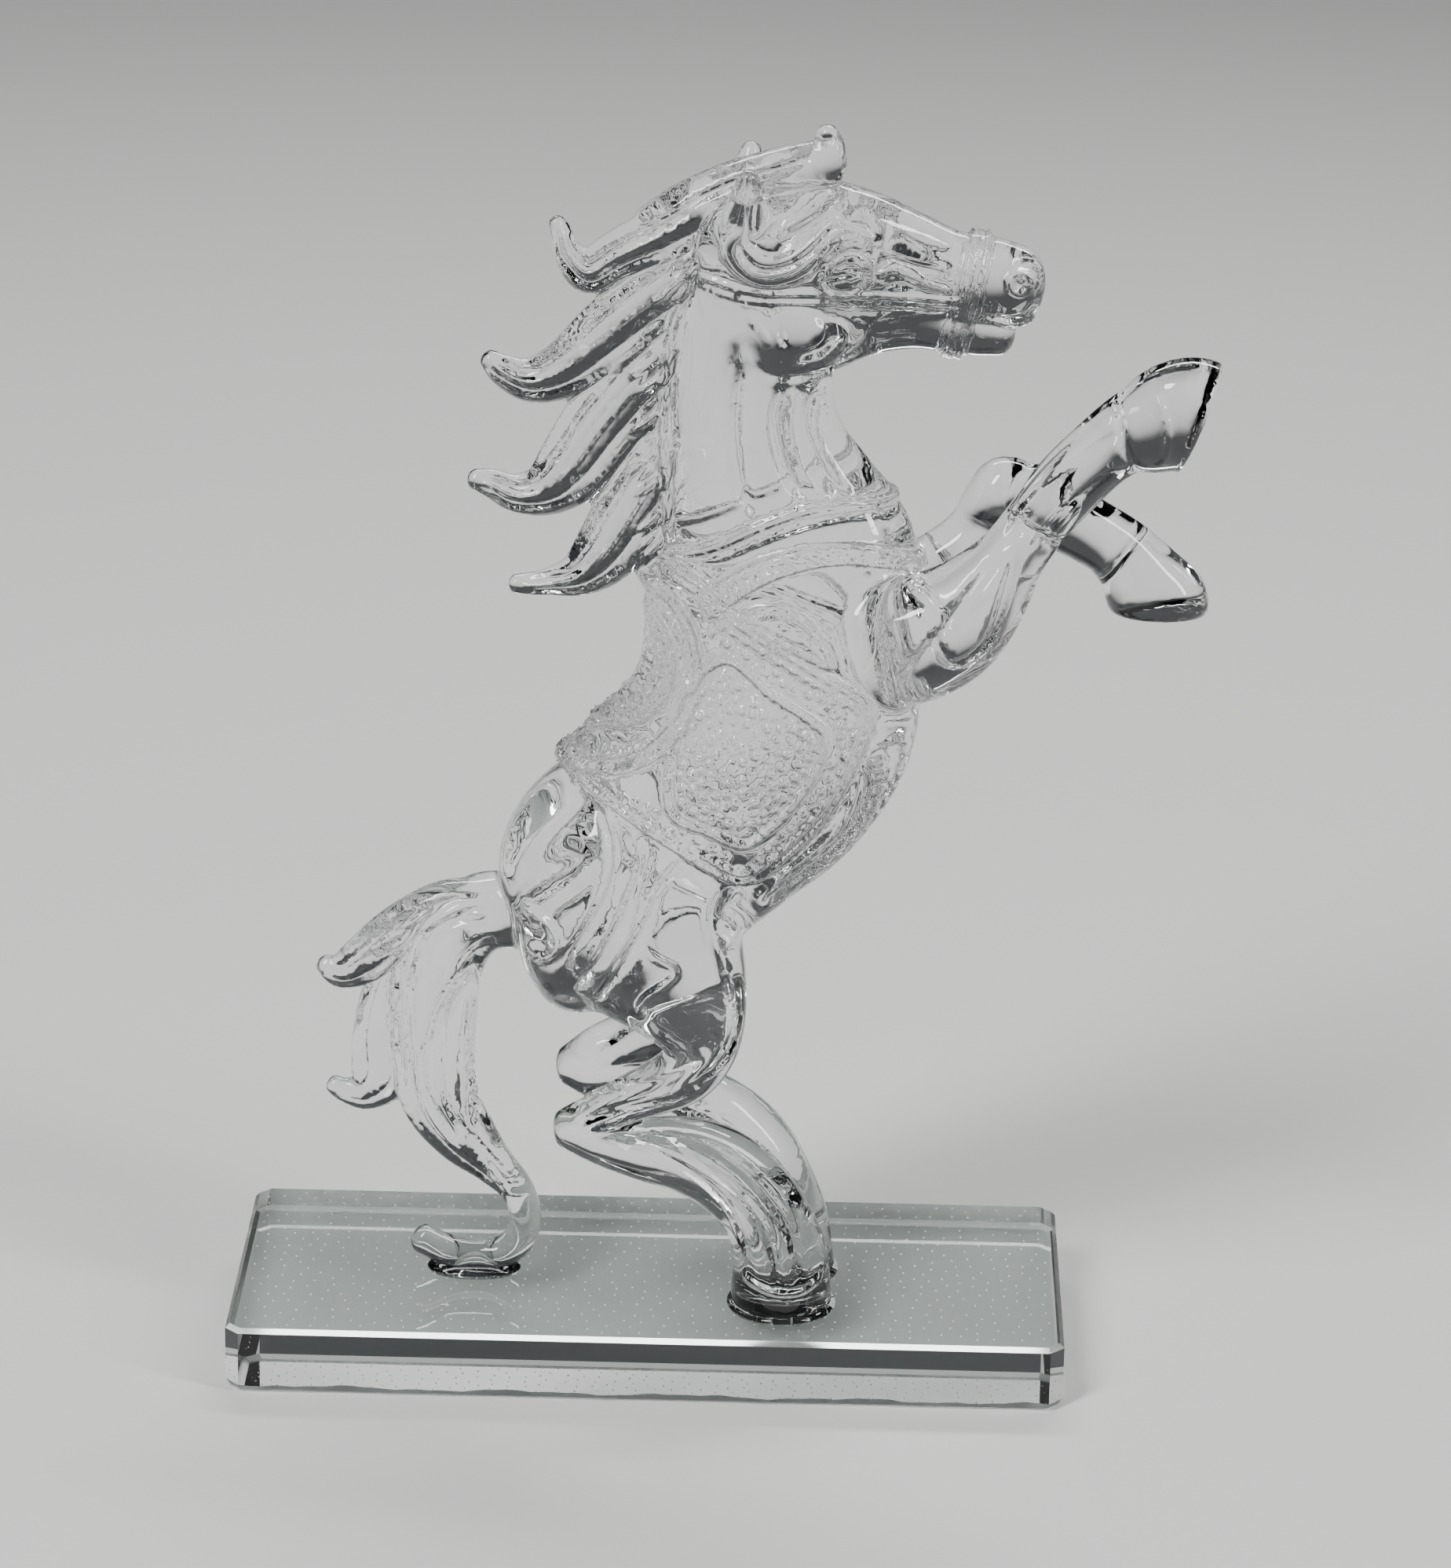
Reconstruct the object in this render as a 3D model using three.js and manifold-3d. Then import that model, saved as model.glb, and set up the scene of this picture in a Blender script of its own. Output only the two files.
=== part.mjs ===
// A rearing horse of clear crystal glass, hand worked in one piece and glued by two beads of
// clear adhesive to a cut glass slab. Millimetres, +Z up. The horse faces +X and its right side,
// which is the side seen first, faces -Y. The origin is the centre of the slab's underside.
import * as THREE from 'three';
import { mergeVertices } from 'three/addons/utils/BufferGeometryUtils.js';
import Module from 'manifold-3d';

const wasm = await Module();
wasm.setup();

// The slab, of 12 mm float glass.
const slabLength = 150;
const slabDepth = 63;
const slabThickness = 12;
const slabChamfer = 1;
const slabCornerCut = 2.5;

// The beads of adhesive under the feet and the tail.
const beadThickness = 1.25;
const beadSpread = 0.75;
const beadSides = 24;
// The bead's rim, as shares of its radius and its thickness, from the slab up.
const beadRim = [[0, 0], [0.97, 0], [1, 0.35], [0.95, 0.85], [0.86, 1], [0, 1]];

// The horse. Its forms are drawn on a grid where it is 215 units from soles to forelock.
const horseHeight = 215;
const horseSetback = -5;
const drawnHeight = 215;
const drawnSoles = 13.25;
const unit = horseHeight / drawnHeight;

// How far the trappings stand proud of the body, in drawing units.
const clothLift = 0.9;
const panelLift = 1.5;
const saddleLift = 2.3;
const seatLift = 3.3;
const collarLift = 1.3;
const strapLift = 0.7;

// How the forms are faceted: rows in an end cap, sides of a section, and how far an end bulges
// as a share of its half thickness.
const capRows = 2;
const trunkSides = 18;
const thighSides = 14;
const headSides = 14;
const legSides = 12;
const lockSides = 8;
const roundCap = 0.8;
const flatCap = 0.12;
const curveTension = 0.5;
const weldDistance = 1e-4;
const cutterReach = 200;

// Every form below is a row of stations: x, y and z of its centre line on the drawing, its half
// thickness in the side view, and its half thickness across. Negative y is the horse's right.
const trunk = [
  [-12, 0, 79, 11.5, 11],
  [-9.8, 0, 84.4, 18.4, 14.5],
  [-6.6, 0, 89.8, 22.4, 16.6],
  [0.8, 0, 96.8, 22.5, 17.6],
  [8.8, 0, 103.8, 22.4, 18.2],
  [17.2, 0, 112.2, 23.4, 18.5],
  [22.2, 0, 121.4, 23.8, 18.2],
  [23.2, 0, 131, 22.8, 17],
  [22.8, 0, 141, 22, 15.4],
  [23, 0, 150, 22.2, 13.4],
  [20, 0, 159, 19.3, 12],
  [17, 0, 168, 16.3, 10.8],
  [15.2, 0, 178.5, 14.8, 9.8],
  [15.4, 0, 190, 13.8, 9.4],
  [16, 0, 201, 12, 8.8],
];
const skull = [
  [11, 0, 206, 10, 8],
  [17, 0, 205, 13, 9.8],
  [25, 0, 204.5, 13.8, 10.2],
  [33, 0, 203.7, 12.8, 9],
  [41, 0, 202.3, 10.8, 7.2],
  [49, 0, 200.8, 8.8, 6.2],
  [56, 0, 200.6, 8, 6.2],
  [61, 0, 200.1, 6.9, 5.8],
];
const lowerJaw = [
  [19, 0, 195.5, 10.5, 7.5],
  [27, 0, 193.2, 9.4, 7],
  [35.5, 0, 193.2, 5.9, 5.4],
  [44, 0, 193.6, 4.9, 4.8],
  [52, 0, 192.2, 4.5, 4.6],
  [58, 0, 191.3, 3.5, 4],
];
const forelock = [
  [4, 0, 212.4, 5, 5],
  [12, 0, 216, 4.8, 5],
  [20, 0, 218.6, 4.8, 4.6],
  [26.4, 0, 220.4, 4.6, 3.6],
  [28, 0, 223.6, 2.9, 2.6],
  [27.6, 0, 226.2, 1.9, 1.9],
];
const maneLocks = [
  [
    [7, 0, 212, 5.6, 5],
    [0, 0, 208, 5, 4.8],
    [-7.4, 0, 204.2, 4.2, 4.2],
    [-12.6, 0, 201, 3.9, 3.4],
    [-16.4, 0, 204.4, 2.4, 2.6],
    [-17.3, 0, 207.6, 1.9, 1.9],
    [-18.2, 0, 209.5, 1.4, 1.4],
  ],
  [
    [6, 0, 202, 7, 5.5],
    [-1, 0, 196.5, 6.8, 5.2],
    [-8.5, 0, 190.2, 6.4, 4.6],
    [-16, 0, 183.8, 5.2, 4],
    [-22.2, 0, 181.4, 4, 3.2],
    [-27, 0, 182.9, 2.9, 2.5],
    [-29.6, 0, 184.9, 1.8, 1.8],
  ],
  [
    [5, 0, 190, 8, 5.5],
    [-2, 0, 183, 8, 5.2],
    [-9, 0, 174.5, 7.6, 4.6],
    [-15, 0, 166, 6.6, 4.2],
    [-19.6, 0, 161.8, 4.8, 3.6],
    [-24.8, 0, 160.9, 3.4, 3],
    [-29, 0, 162.6, 2.6, 2.4],
    [-32, 0, 163.3, 1.8, 1.8],
  ],
  [
    [5, 0, 174, 7, 5.5],
    [0, 0, 166, 7, 5.2],
    [-4.6, 0, 158, 6.8, 4.8],
    [-9.4, 0, 150.4, 5.8, 4.2],
    [-13.8, 0, 146.4, 4, 3.4],
    [-19, 0, 145, 2.4, 2.4],
    [-22.6, 0, 144.5, 1.9, 2],
    [-24.8, 0, 144.4, 1.7, 1.7],
  ],
];
const maneRoot = [
  [0.6, 0, 144.5, 3, 3],
  [-1.6, 0, 151.5, 4, 3.4],
  [-1.6, 0, 160, 4.4, 3.6],
  [-1, 0, 172, 4.4, 3.6],
  [0.4, 0, 184, 4.4, 3.6],
  [3.4, 0, 196, 4.4, 3.6],
  [6.6, 0, 206, 4, 3.4],
];
const ear = [
  [13.6, 4.5, 207.5, 5, 4],
  [14, 7.6, 213.5, 3.7, 3],
  [14.4, 9.4, 218, 2.6, 2.4],
  [14.7, 10.2, 220.6, 1.7, 1.7],
];
const jowlLock = [
  [12.4, 7.6, 212, 2.2, 2],
  [13.2, 8.6, 207, 2.8, 2.2],
  [17.2, 9.6, 204.4, 3, 2.2],
  [22, 9.8, 205, 2.8, 2.2],
  [25.8, 9.2, 208, 2.6, 2],
  [29.4, 7.6, 212, 1.8, 1.8],
];
const cheek = [
  [16.5, 6, 194, 4, 3],
  [20, 7, 191.5, 7.5, 3.6],
  [25.5, 6.8, 191, 7.2, 3.4],
  [29.5, 5.8, 192.5, 3.6, 2.8],
];
const eyeBall = [
  [27.6, 8.4, 202.6, 1.6, 1.4],
  [31.4, 8.8, 203.8, 2.7, 2],
  [35, 7.6, 205, 1.5, 1.4],
];
const nostril = [
  [59.6, 4.4, 202, 2.2, 1.8],
  [62.8, 4, 202.2, 2.4, 1.8],
];
const rightForeleg = [
  [36, -6, 137.5, 12.5, 9],
  [44, -9, 138.6, 11.4, 9.5],
  [50.8, -10.5, 142.4, 10.4, 8.8],
  [56.4, -11, 148.2, 8.2, 7.8],
  [60.9, -10.8, 154.6, 6, 6.5],
  [65.4, -10.4, 161.2, 5.6, 5.9],
  [70.4, -10, 167.8, 6.1, 5.6],
  [76, -10, 173.7, 6.2, 5.6],
  [80.4, -10, 177, 7, 6.2],
  [84.4, -10, 178.6, 8.4, 7],
  [87.8, -10, 180.1, 9.6, 7.6],
  [90.8, -10, 180.6, 10.1, 7.8],
  [92.4, -10, 180.1, 10.2, 7.6],
];
const leftForeleg = [
  [36, 5, 138, 12.5, 9],
  [43.5, 7, 142, 8.6, 8.4],
  [49.8, 8.6, 147.6, 5.8, 6.6],
  [54.6, 9.2, 153, 4.7, 5.6],
  [57.6, 9.4, 158.8, 4.6, 5.4],
  [60.2, 9.4, 161.6, 4.9, 5.3],
  [66, 9.2, 159, 5.9, 5.3],
  [71, 9, 155.9, 6.1, 5.2],
  [76, 9, 153.2, 5.9, 5.2],
  [80.6, 9, 150.2, 6.1, 5.6],
  [83.6, 9, 147, 6.8, 6.3],
  [85.9, 9, 143.6, 7.9, 7.2],
  [88, 9, 140.8, 9.3, 7.6],
  [88.3, 9, 139.2, 8.6, 7],
];
const rightThigh = [
  [-9, -5, 97, 15, 12],
  [-4.6, -7.5, 89, 17.4, 12.5],
  [0.6, -9.5, 81, 16.2, 12],
  [5.4, -10.8, 74, 12.2, 10.2],
  [8.6, -11.2, 67.2, 8.4, 8.4],
  [8.8, -11.2, 61.6, 6.4, 7],
  [6.2, -11, 57.2, 5.6, 6.2],
  [1.4, -10.6, 54.2, 4.9, 5.4],
  [-4.2, -10.2, 51.4, 4.1, 4.8],
  [-9.6, -9.8, 48.7, 3.4, 4.2],
  [-14.8, -9.6, 46.2, 2.8, 3.4],
];
const rightCannon = [
  [-14.6, -9.6, 44.6, 2.9, 3.4],
  [-8.4, -9.8, 42.8, 4, 4.6],
  [-1, -10, 41.8, 5.6, 5.8],
  [6, -10, 41, 6.8, 6.8],
  [12.4, -10, 38.6, 7.5, 7.4],
  [17.8, -10, 34, 7.6, 7.8],
  [21.7, -10, 28.4, 7.8, 8.2],
  [23.8, -10, 21.5, 8.6, 8.8],
  [24.2, -10, 13, 9.1, 9.2],
];
const leftThigh = [
  [-9, 5, 97, 15, 12],
  [-4.6, 7.5, 89, 17.4, 12.5],
  [0.6, 9.5, 81, 15.8, 12],
  [4.8, 10, 74, 11.4, 10],
  [7.8, 10, 67.4, 8.2, 8.2],
  [7.4, 9.6, 61.6, 6.8, 6.8],
  [2.6, 8.8, 57.8, 5.8, 6],
  [-3.5, 8.2, 56, 5, 5.4],
  [-9.5, 7.6, 53.8, 4.4, 4.6],
  [-14.8, 7.2, 51.2, 3.2, 3.6],
];
const leftCannon = [
  [-14.6, 7.2, 50, 3.3, 3.6],
  [-8.4, 7.2, 48, 4.6, 4.6],
  [0, 7, 46.6, 5.6, 5.6],
  [8, 6.6, 44.2, 6.6, 6.4],
  [14, 6, 40.8, 7, 7],
  [18.6, 5.8, 36.2, 7.2, 7.2],
  [21.8, 5.4, 30, 7.5, 7.6],
  [24.2, 5, 22, 8.2, 8.2],
  [25.2, 5, 13, 8.5, 8.6],
];
const buttock = [
  [-10, 5, 88, 13, 10],
  [-12.6, 7, 80, 11.4, 9.6],
  [-12.9, 7.6, 73.6, 7.8, 7.6],
];
const tailDrop = [
  [-18, 1, 82.4, 8, 8],
  [-25, 1, 83, 7, 7.4],
  [-31.2, 1, 82, 7.2, 7.4],
  [-36.9, 1, 77, 8.2, 7.4],
  [-39.6, 1, 67.5, 8.1, 7.2],
  [-39.8, 1, 57.5, 7.8, 6.8],
  [-38.4, 1, 47, 7.2, 6],
  [-34, 1, 39.4, 5.9, 4.8],
  [-28.6, 1.2, 33.4, 3.9, 3.6],
  [-24.3, 1.5, 28.4, 3.1, 3.1],
  [-22.7, 1.8, 22.6, 2.9, 3],
  [-24.8, 2, 17, 3, 3],
  [-30.2, 2, 14.6, 3, 3],
  [-36, 2, 15.3, 2.9, 3],
  [-41.2, 2, 17.8, 2.8, 2.8],
];
const tailPlumes = [
  [
    [-29, -1, 85, 4.4, 4.4],
    [-37, -1.6, 84.2, 4.8, 4.6],
    [-44.6, -1.6, 79.6, 5, 4.5],
    [-51, -1.2, 74, 4.6, 4],
    [-55.6, -1, 71.2, 3.2, 3],
    [-58.8, -1, 72.3, 1.9, 1.8],
  ],
  [
    [-42, 3, 76, 5, 4.6],
    [-47, 3, 67, 5, 4.4],
    [-49, 2.8, 58.4, 5, 4],
    [-48.8, 2.4, 50.4, 5.6, 3.2],
    [-51.6, 2, 46.8, 3.7, 2.6],
    [-55.2, 2, 46.8, 2.3, 2.2],
    [-57.4, 2, 47.8, 1.8, 1.7],
  ],
  [
    [-33.6, -4, 71, 3, 3],
    [-36, -5, 61, 4.6, 3.6],
    [-36, -4.4, 51, 4.6, 3.4],
    [-33.6, -2, 42, 2.8, 2.6],
  ],
];
// Where the tail's curl rests on the slab.
const tailFoot = [-32, 2, drawnSoles, 7.8, 4.4];

// The outlines of the trappings on the drawing's side view. They are carved on both flanks.
const saddleCloth = [
  [-22, 116], [-14.5, 112], [-8, 108.8], [4, 102], [12, 97], [16, 95.6], [20.5, 97.2],
  [28.8, 105.6], [34, 114.4], [38, 125.4], [36.4, 129.8], [24, 138], [14, 143.5], [8, 149],
  [-8, 150],
];
const clothPanel = [
  [2, 110], [10, 105.4], [15, 103.2], [18, 103.8], [23, 108.4], [28, 115.6], [30.4, 123],
  [28.6, 126.6], [21, 131.6], [12, 137.2], [4, 128],
];
const saddleSkirt = [
  [-24, 114.2], [-15, 113.4], [-9, 113.4], [-3.6, 115], [2, 118.8], [6.4, 125], [8.2, 131.5],
  [7.6, 138], [5, 143.6], [0, 146.6], [-10, 146.6],
];
const saddleSeat = [
  [-16, 119.4], [-8, 120.6], [-3.4, 122.4], [0.4, 125.4], [3, 130], [3.6, 134.6], [2.4, 139],
  [-1, 142.4], [-12, 142.4],
];
const shoulderLoop = [
  [14, 142.8], [18, 145.6], [23.4, 145.6], [28, 142.2], [30.8, 135.4], [25, 137.6], [18, 141],
];

// Straps: a centre line on the side view, then the width at its two ends.
const breastCollar = [[[8, 144.6], [16, 150.6], [24, 154], [32, 154.9], [40, 153.4], [52, 149]], 4.4, 2.6];
const neckCord = [[[-3, 150], [8.4, 154.6], [19, 160], [29, 163], [44, 162.6]], 1.4, 1.4];
const hipStrap = [[[1.5, 102], [-3.4, 91.2], [-8.9, 80.3], [-11.4, 74]], 6.6, 3.6];
const cheekStrap = [[[5, 201.8], [16, 199.7], [28, 199.7], [52, 198]], 2, 2];
const noseband = [[[55.4, 214], [52.7, 201], [49, 185]], 3.6, 3.6];

const glass = new THREE.MeshStandardMaterial({ color: 0xe9eef0, roughness: 0.03, metalness: 0 });
glass.transparent = true;
glass.opacity = 0.4;
const adhesive = glass.clone();
adhesive.color.set(0xdfe8ea);

// A closed three.js geometry as a solid that can be joined and cut.
function solidFrom(geometry) {
  const bare = geometry.index ? geometry.clone() : mergeVertices(geometry);
  bare.deleteAttribute('normal');
  bare.deleteAttribute('uv');
  const merged = mergeVertices(bare, weldDistance);
  return new wasm.Manifold(new wasm.Mesh({
    numProp: 3,
    vertProperties: new Float32Array(merged.attributes.position.array),
    triVerts: new Uint32Array(merged.index.array),
  }));
}

function geometryFrom(solid) {
  const mesh = solid.getMesh();
  const geometry = new THREE.BufferGeometry();
  geometry.setAttribute('position', new THREE.BufferAttribute(mesh.vertProperties, 3));
  geometry.setIndex(new THREE.BufferAttribute(mesh.triVerts, 1));
  return geometry;
}

const join = (solids) => solids.reduce((whole, solid) => whole.add(solid));
const onLeft = (stations) => stations;
const onRight = (stations) => stations.map(([x, y, z, deep, wide]) => [x, -y, z, deep, wide]);
const onBothSides = (stations, options) => [onLeft, onRight].map((turn) => limb(turn(stations), options));
const grow = (stations, lift) =>
  stations.map(([x, y, z, deep, wide]) => [x, y, z, deep + lift, wide + lift]);

// One sculpted form: a ball whose rows are laid as oval rings along the stations' smooth centre
// line, with a cap at each end.
function limb(stations, { sides, startCap = roundCap, endCap = roundCap }) {
  const path = new THREE.CatmullRomCurve3(
    stations.map(([x, y, z]) => new THREE.Vector3(x, y, z - drawnSoles).multiplyScalar(unit)),
    false, 'catmullrom', curveTension);
  const sizes = new THREE.CatmullRomCurve3(
    stations.map(([, , , deep, wide]) => new THREE.Vector3(deep, wide, 0).multiplyScalar(unit)),
    false, 'catmullrom', curveTension);
  const spans = stations.length - 1;
  const ball = new THREE.SphereGeometry(1, sides, spans + 2 * capRows);
  const across = new THREE.Vector3(0, 1, 0);
  for (let row = 0; row <= spans + 2 * capRows; row += 1) {
    const along = THREE.MathUtils.clamp((row - capRows) / spans, 0, 1);
    const tangent = path.getTangent(along);
    const inPlane = across.clone().cross(tangent).normalize();
    const sideways = tangent.clone().cross(inPlane);
    const size = sizes.getPoint(along);
    const rowsFromEnd = Math.min(row, spans + 2 * capRows - row);
    const lean = (Math.PI / 2) * Math.min(rowsFromEnd / capRows, 1);
    const cap = row < capRows ? -startCap : endCap;
    const bulge = cap * Math.min(size.x, size.y) * Math.cos(lean);
    const centre = path.getPoint(along).addScaledVector(tangent, bulge);
    for (let column = 0; column <= sides; column += 1) {
      const angle = (2 * Math.PI * (column % sides)) / sides;
      const shrink = rowsFromEnd === 0 ? 0 : Math.sin(lean);
      const point = centre.clone()
        .addScaledVector(inPlane, -Math.cos(angle) * size.x * shrink)
        .addScaledVector(sideways, Math.sin(angle) * size.y * shrink);
      ball.attributes.position.setXYZ(row * (sides + 1) + column, point.x, point.y, point.z);
    }
  }
  return solidFrom(ball);
}

// A side-view outline as a prism right through the horse, to cut a raised form to its outline.
function prism(outline) {
  const shape = new THREE.Shape(outline.map(([x, z]) =>
    new THREE.Vector2(x, z - drawnSoles).multiplyScalar(unit)));
  const block = new THREE.ExtrudeGeometry(shape, { depth: cutterReach, bevelEnabled: false });
  block.rotateX(Math.PI / 2);
  block.translate(0, cutterReach / 2, 0);
  return solidFrom(block);
}

// The side-view outline of a strap from its centre line and the widths of its two ends.
function strapOutline([centreLine, startWidth, endWidth]) {
  const edge = (side) => centreLine.map(([x, z], index) => {
    const [beforeX, beforeZ] = centreLine[Math.max(index - 1, 0)];
    const [afterX, afterZ] = centreLine[Math.min(index + 1, centreLine.length - 1)];
    const length = Math.hypot(afterX - beforeX, afterZ - beforeZ);
    const share = index / (centreLine.length - 1);
    const reach = (side * THREE.MathUtils.lerp(startWidth, endWidth, share)) / 2 / length;
    return [x - (afterZ - beforeZ) * reach, z + (afterX - beforeX) * reach];
  });
  return [...edge(1), ...edge(-1).reverse()];
}

const raised = (stations, lift, outline, options) =>
  limb(grow(stations, lift), options).intersect(prism(outline));

function makeHorse() {
  const broad = { sides: trunkSides };
  const thigh = { sides: thighSides };
  const head = { sides: headSides };
  const lock = { sides: lockSides };
  const leg = { sides: legSides };
  const hoof = { sides: legSides, endCap: flatCap };

  const body = [
    limb(trunk, broad),
    limb(skull, head),
    limb(lowerJaw, leg),
    ...onBothSides(cheek, lock),
    ...onBothSides(jowlLock, lock),
    ...onBothSides(eyeBall, lock),
    ...onBothSides(nostril, lock),
    ...onBothSides(ear, lock),
    limb(forelock, lock),
    ...maneLocks.map((stations) => limb(stations, lock)),
    limb(maneRoot, lock),
  ];
  const limbs = [
    limb(rightForeleg, hoof),
    limb(leftForeleg, hoof),
    limb(rightThigh, thigh),
    limb(leftThigh, thigh),
    ...onBothSides(buttock, leg),
    limb(rightCannon, leg),
    limb(leftCannon, leg),
    limb(tailDrop, leg),
    ...tailPlumes.map((stations) => limb(stations, lock)),
  ];
  const trappings = [
    raised(trunk, clothLift, saddleCloth, broad),
    raised(trunk, panelLift, clothPanel, broad),
    raised(trunk, saddleLift, saddleSkirt, broad),
    raised(trunk, seatLift, saddleSeat, broad),
    raised(trunk, strapLift, shoulderLoop, broad),
    raised(trunk, collarLift, strapOutline(breastCollar), broad),
    raised(trunk, strapLift, strapOutline(neckCord), broad),
    raised(trunk, strapLift, strapOutline(hipStrap), broad),
    raised(rightThigh, strapLift, strapOutline(hipStrap), thigh),
    raised(leftThigh, strapLift, strapOutline(hipStrap), thigh),
    raised(skull, strapLift, strapOutline(noseband), head),
    raised(lowerJaw, strapLift, strapOutline(noseband), leg),
    raised(skull, strapLift, strapOutline(cheekStrap), head),
  ];
  const floor = new THREE.BoxGeometry(cutterReach, cutterReach, cutterReach);
  floor.translate(0, 0, -cutterReach / 2);
  return join([...body, ...limbs, ...trappings]).subtract(solidFrom(floor));
}

// A flat bead of adhesive with a rounded rim, on the slab's top.
function bead(x, y, deep, wide) {
  const profile = beadRim.map(([radius, height]) => new THREE.Vector2(radius, height));
  const disc = new THREE.LatheGeometry(profile, beadSides);
  disc.rotateX(Math.PI / 2);
  disc.scale(deep + beadSpread, wide + beadSpread, beadThickness);
  disc.translate(x, y, 0);
  return solidFrom(disc);
}

function makeSlab() {
  const halfLength = slabLength / 2 - slabChamfer;
  const halfDepth = slabDepth / 2 - slabChamfer;
  const outline = new THREE.Shape();
  outline.moveTo(-halfLength + slabCornerCut, -halfDepth);
  outline.lineTo(halfLength - slabCornerCut, -halfDepth);
  outline.lineTo(halfLength, -halfDepth + slabCornerCut);
  outline.lineTo(halfLength, halfDepth - slabCornerCut);
  outline.lineTo(halfLength - slabCornerCut, halfDepth);
  outline.lineTo(-halfLength + slabCornerCut, halfDepth);
  outline.lineTo(-halfLength, halfDepth - slabCornerCut);
  outline.lineTo(-halfLength, -halfDepth + slabCornerCut);
  outline.closePath();
  const block = new THREE.ExtrudeGeometry(outline, {
    depth: slabThickness - 2 * slabChamfer,
    bevelEnabled: true,
    bevelThickness: slabChamfer,
    bevelSize: slabChamfer,
    bevelSegments: 1,
  });
  block.translate(0, 0, slabChamfer);
  return block;
}

function namedMesh(name, geometry, material) {
  const mesh = new THREE.Mesh(geometry, material);
  mesh.name = name;
  return mesh;
}

const footBead = ([x, y, , deep, wide]) => bead(x * unit, y * unit, deep * unit, wide * unit);
const hoofBeads = join([footBead(rightCannon.at(-1)), footBead(leftCannon.at(-1))]);

const figure = new THREE.Group();
figure.position.set(0, horseSetback, slabThickness);
const horse = namedMesh('horse', geometryFrom(makeHorse()), glass);
horse.position.z = beadThickness;
figure.add(horse);
figure.add(namedMesh('hoof_adhesive', geometryFrom(hoofBeads), adhesive));
figure.add(namedMesh('tail_adhesive', geometryFrom(footBead(tailFoot)), adhesive));

const ornament = new THREE.Group();
ornament.add(namedMesh('slab', makeSlab(), glass));
ornament.add(figure);

export default ornament;
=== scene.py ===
"""A rearing horse of clear crystal glass on a rectangular glass slab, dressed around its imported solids."""

import math

import bpy
import numpy as np
from bpy.props import FloatProperty, FloatVectorProperty, IntProperty, PointerProperty
from mathutils import Matrix, Vector


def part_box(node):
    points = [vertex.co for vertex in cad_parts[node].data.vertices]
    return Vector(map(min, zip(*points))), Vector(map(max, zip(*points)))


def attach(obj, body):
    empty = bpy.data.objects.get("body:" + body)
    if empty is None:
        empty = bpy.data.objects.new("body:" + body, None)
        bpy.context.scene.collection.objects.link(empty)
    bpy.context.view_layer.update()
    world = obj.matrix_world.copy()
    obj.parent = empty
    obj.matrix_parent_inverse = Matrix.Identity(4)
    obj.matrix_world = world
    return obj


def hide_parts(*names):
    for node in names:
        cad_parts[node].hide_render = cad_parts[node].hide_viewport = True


bl_info = {
    "name": "Crystal horse",
    "version": (1, 0, 0),
    "blender": (4, 5, 0),
    "location": "View3D > Sidebar > Crystal horse",
    "description": "Builds the finished surfaces of a glass horse on a glass slab",
    "category": "Object",
}

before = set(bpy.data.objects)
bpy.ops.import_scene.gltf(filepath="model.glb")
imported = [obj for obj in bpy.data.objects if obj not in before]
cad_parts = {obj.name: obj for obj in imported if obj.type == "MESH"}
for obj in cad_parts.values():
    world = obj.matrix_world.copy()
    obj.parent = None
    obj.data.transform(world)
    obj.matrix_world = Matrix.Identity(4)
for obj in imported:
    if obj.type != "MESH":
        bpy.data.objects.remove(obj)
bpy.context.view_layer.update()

# The figure is drawn in its own millimetres, x forwards, y to the horse's left and z up. These are the
# heights of its soles and its highest point, and the metres by which it stands behind the slab's middle.
DRAWN_SOLES = 13.25
DRAWN_TOP = 227.702
FIGURE_SETBACK = 0.005

# A station is (x, y, z, half thickness seen from the side, half thickness across) along a centre line.
TRUNK = [
    (-12, 0, 79, 11.5, 11), (-9.8, 0, 84.4, 18.4, 14.5), (-6.6, 0, 89.8, 22.4, 16.6),
    (0.8, 0, 96.8, 22.5, 17.6), (8.8, 0, 103.8, 22.4, 18.2), (17.2, 0, 112.2, 23.4, 18.5),
    (22.2, 0, 121.4, 23.8, 18.2), (23.2, 0, 131, 22.8, 17), (22.8, 0, 141, 22, 15.4),
    (23, 0, 150, 22.2, 13.4), (20, 0, 159, 19.3, 12), (17, 0, 168, 16.3, 10.8), (15.2, 0, 178.5, 14.8, 9.8),
    (15.4, 0, 190, 13.8, 9.4), (16, 0, 201, 12, 8.8),
]
BUTTOCK = [(-10, 5, 88, 13, 10), (-12.6, 7, 80, 11.4, 9.6), (-12.9, 7.6, 73.6, 7.8, 7.6)]
RIGHT_THIGH = [
    (-9, -5, 97, 15, 12), (-4.6, -7.5, 89, 17.4, 12.5), (0.6, -9.5, 81, 16.2, 12),
    (5.4, -10.8, 74, 12.2, 10.2), (8.6, -11.2, 67.2, 8.4, 8.4), (8.8, -11.2, 61.6, 6.4, 7),
    (6.2, -11, 57.2, 5.6, 6.2), (1.4, -10.6, 54.2, 4.9, 5.4), (-4.2, -10.2, 51.4, 4.1, 4.8),
    (-9.6, -9.8, 48.7, 3.4, 4.2), (-14.8, -9.6, 46.2, 2.8, 3.4),
]
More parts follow.
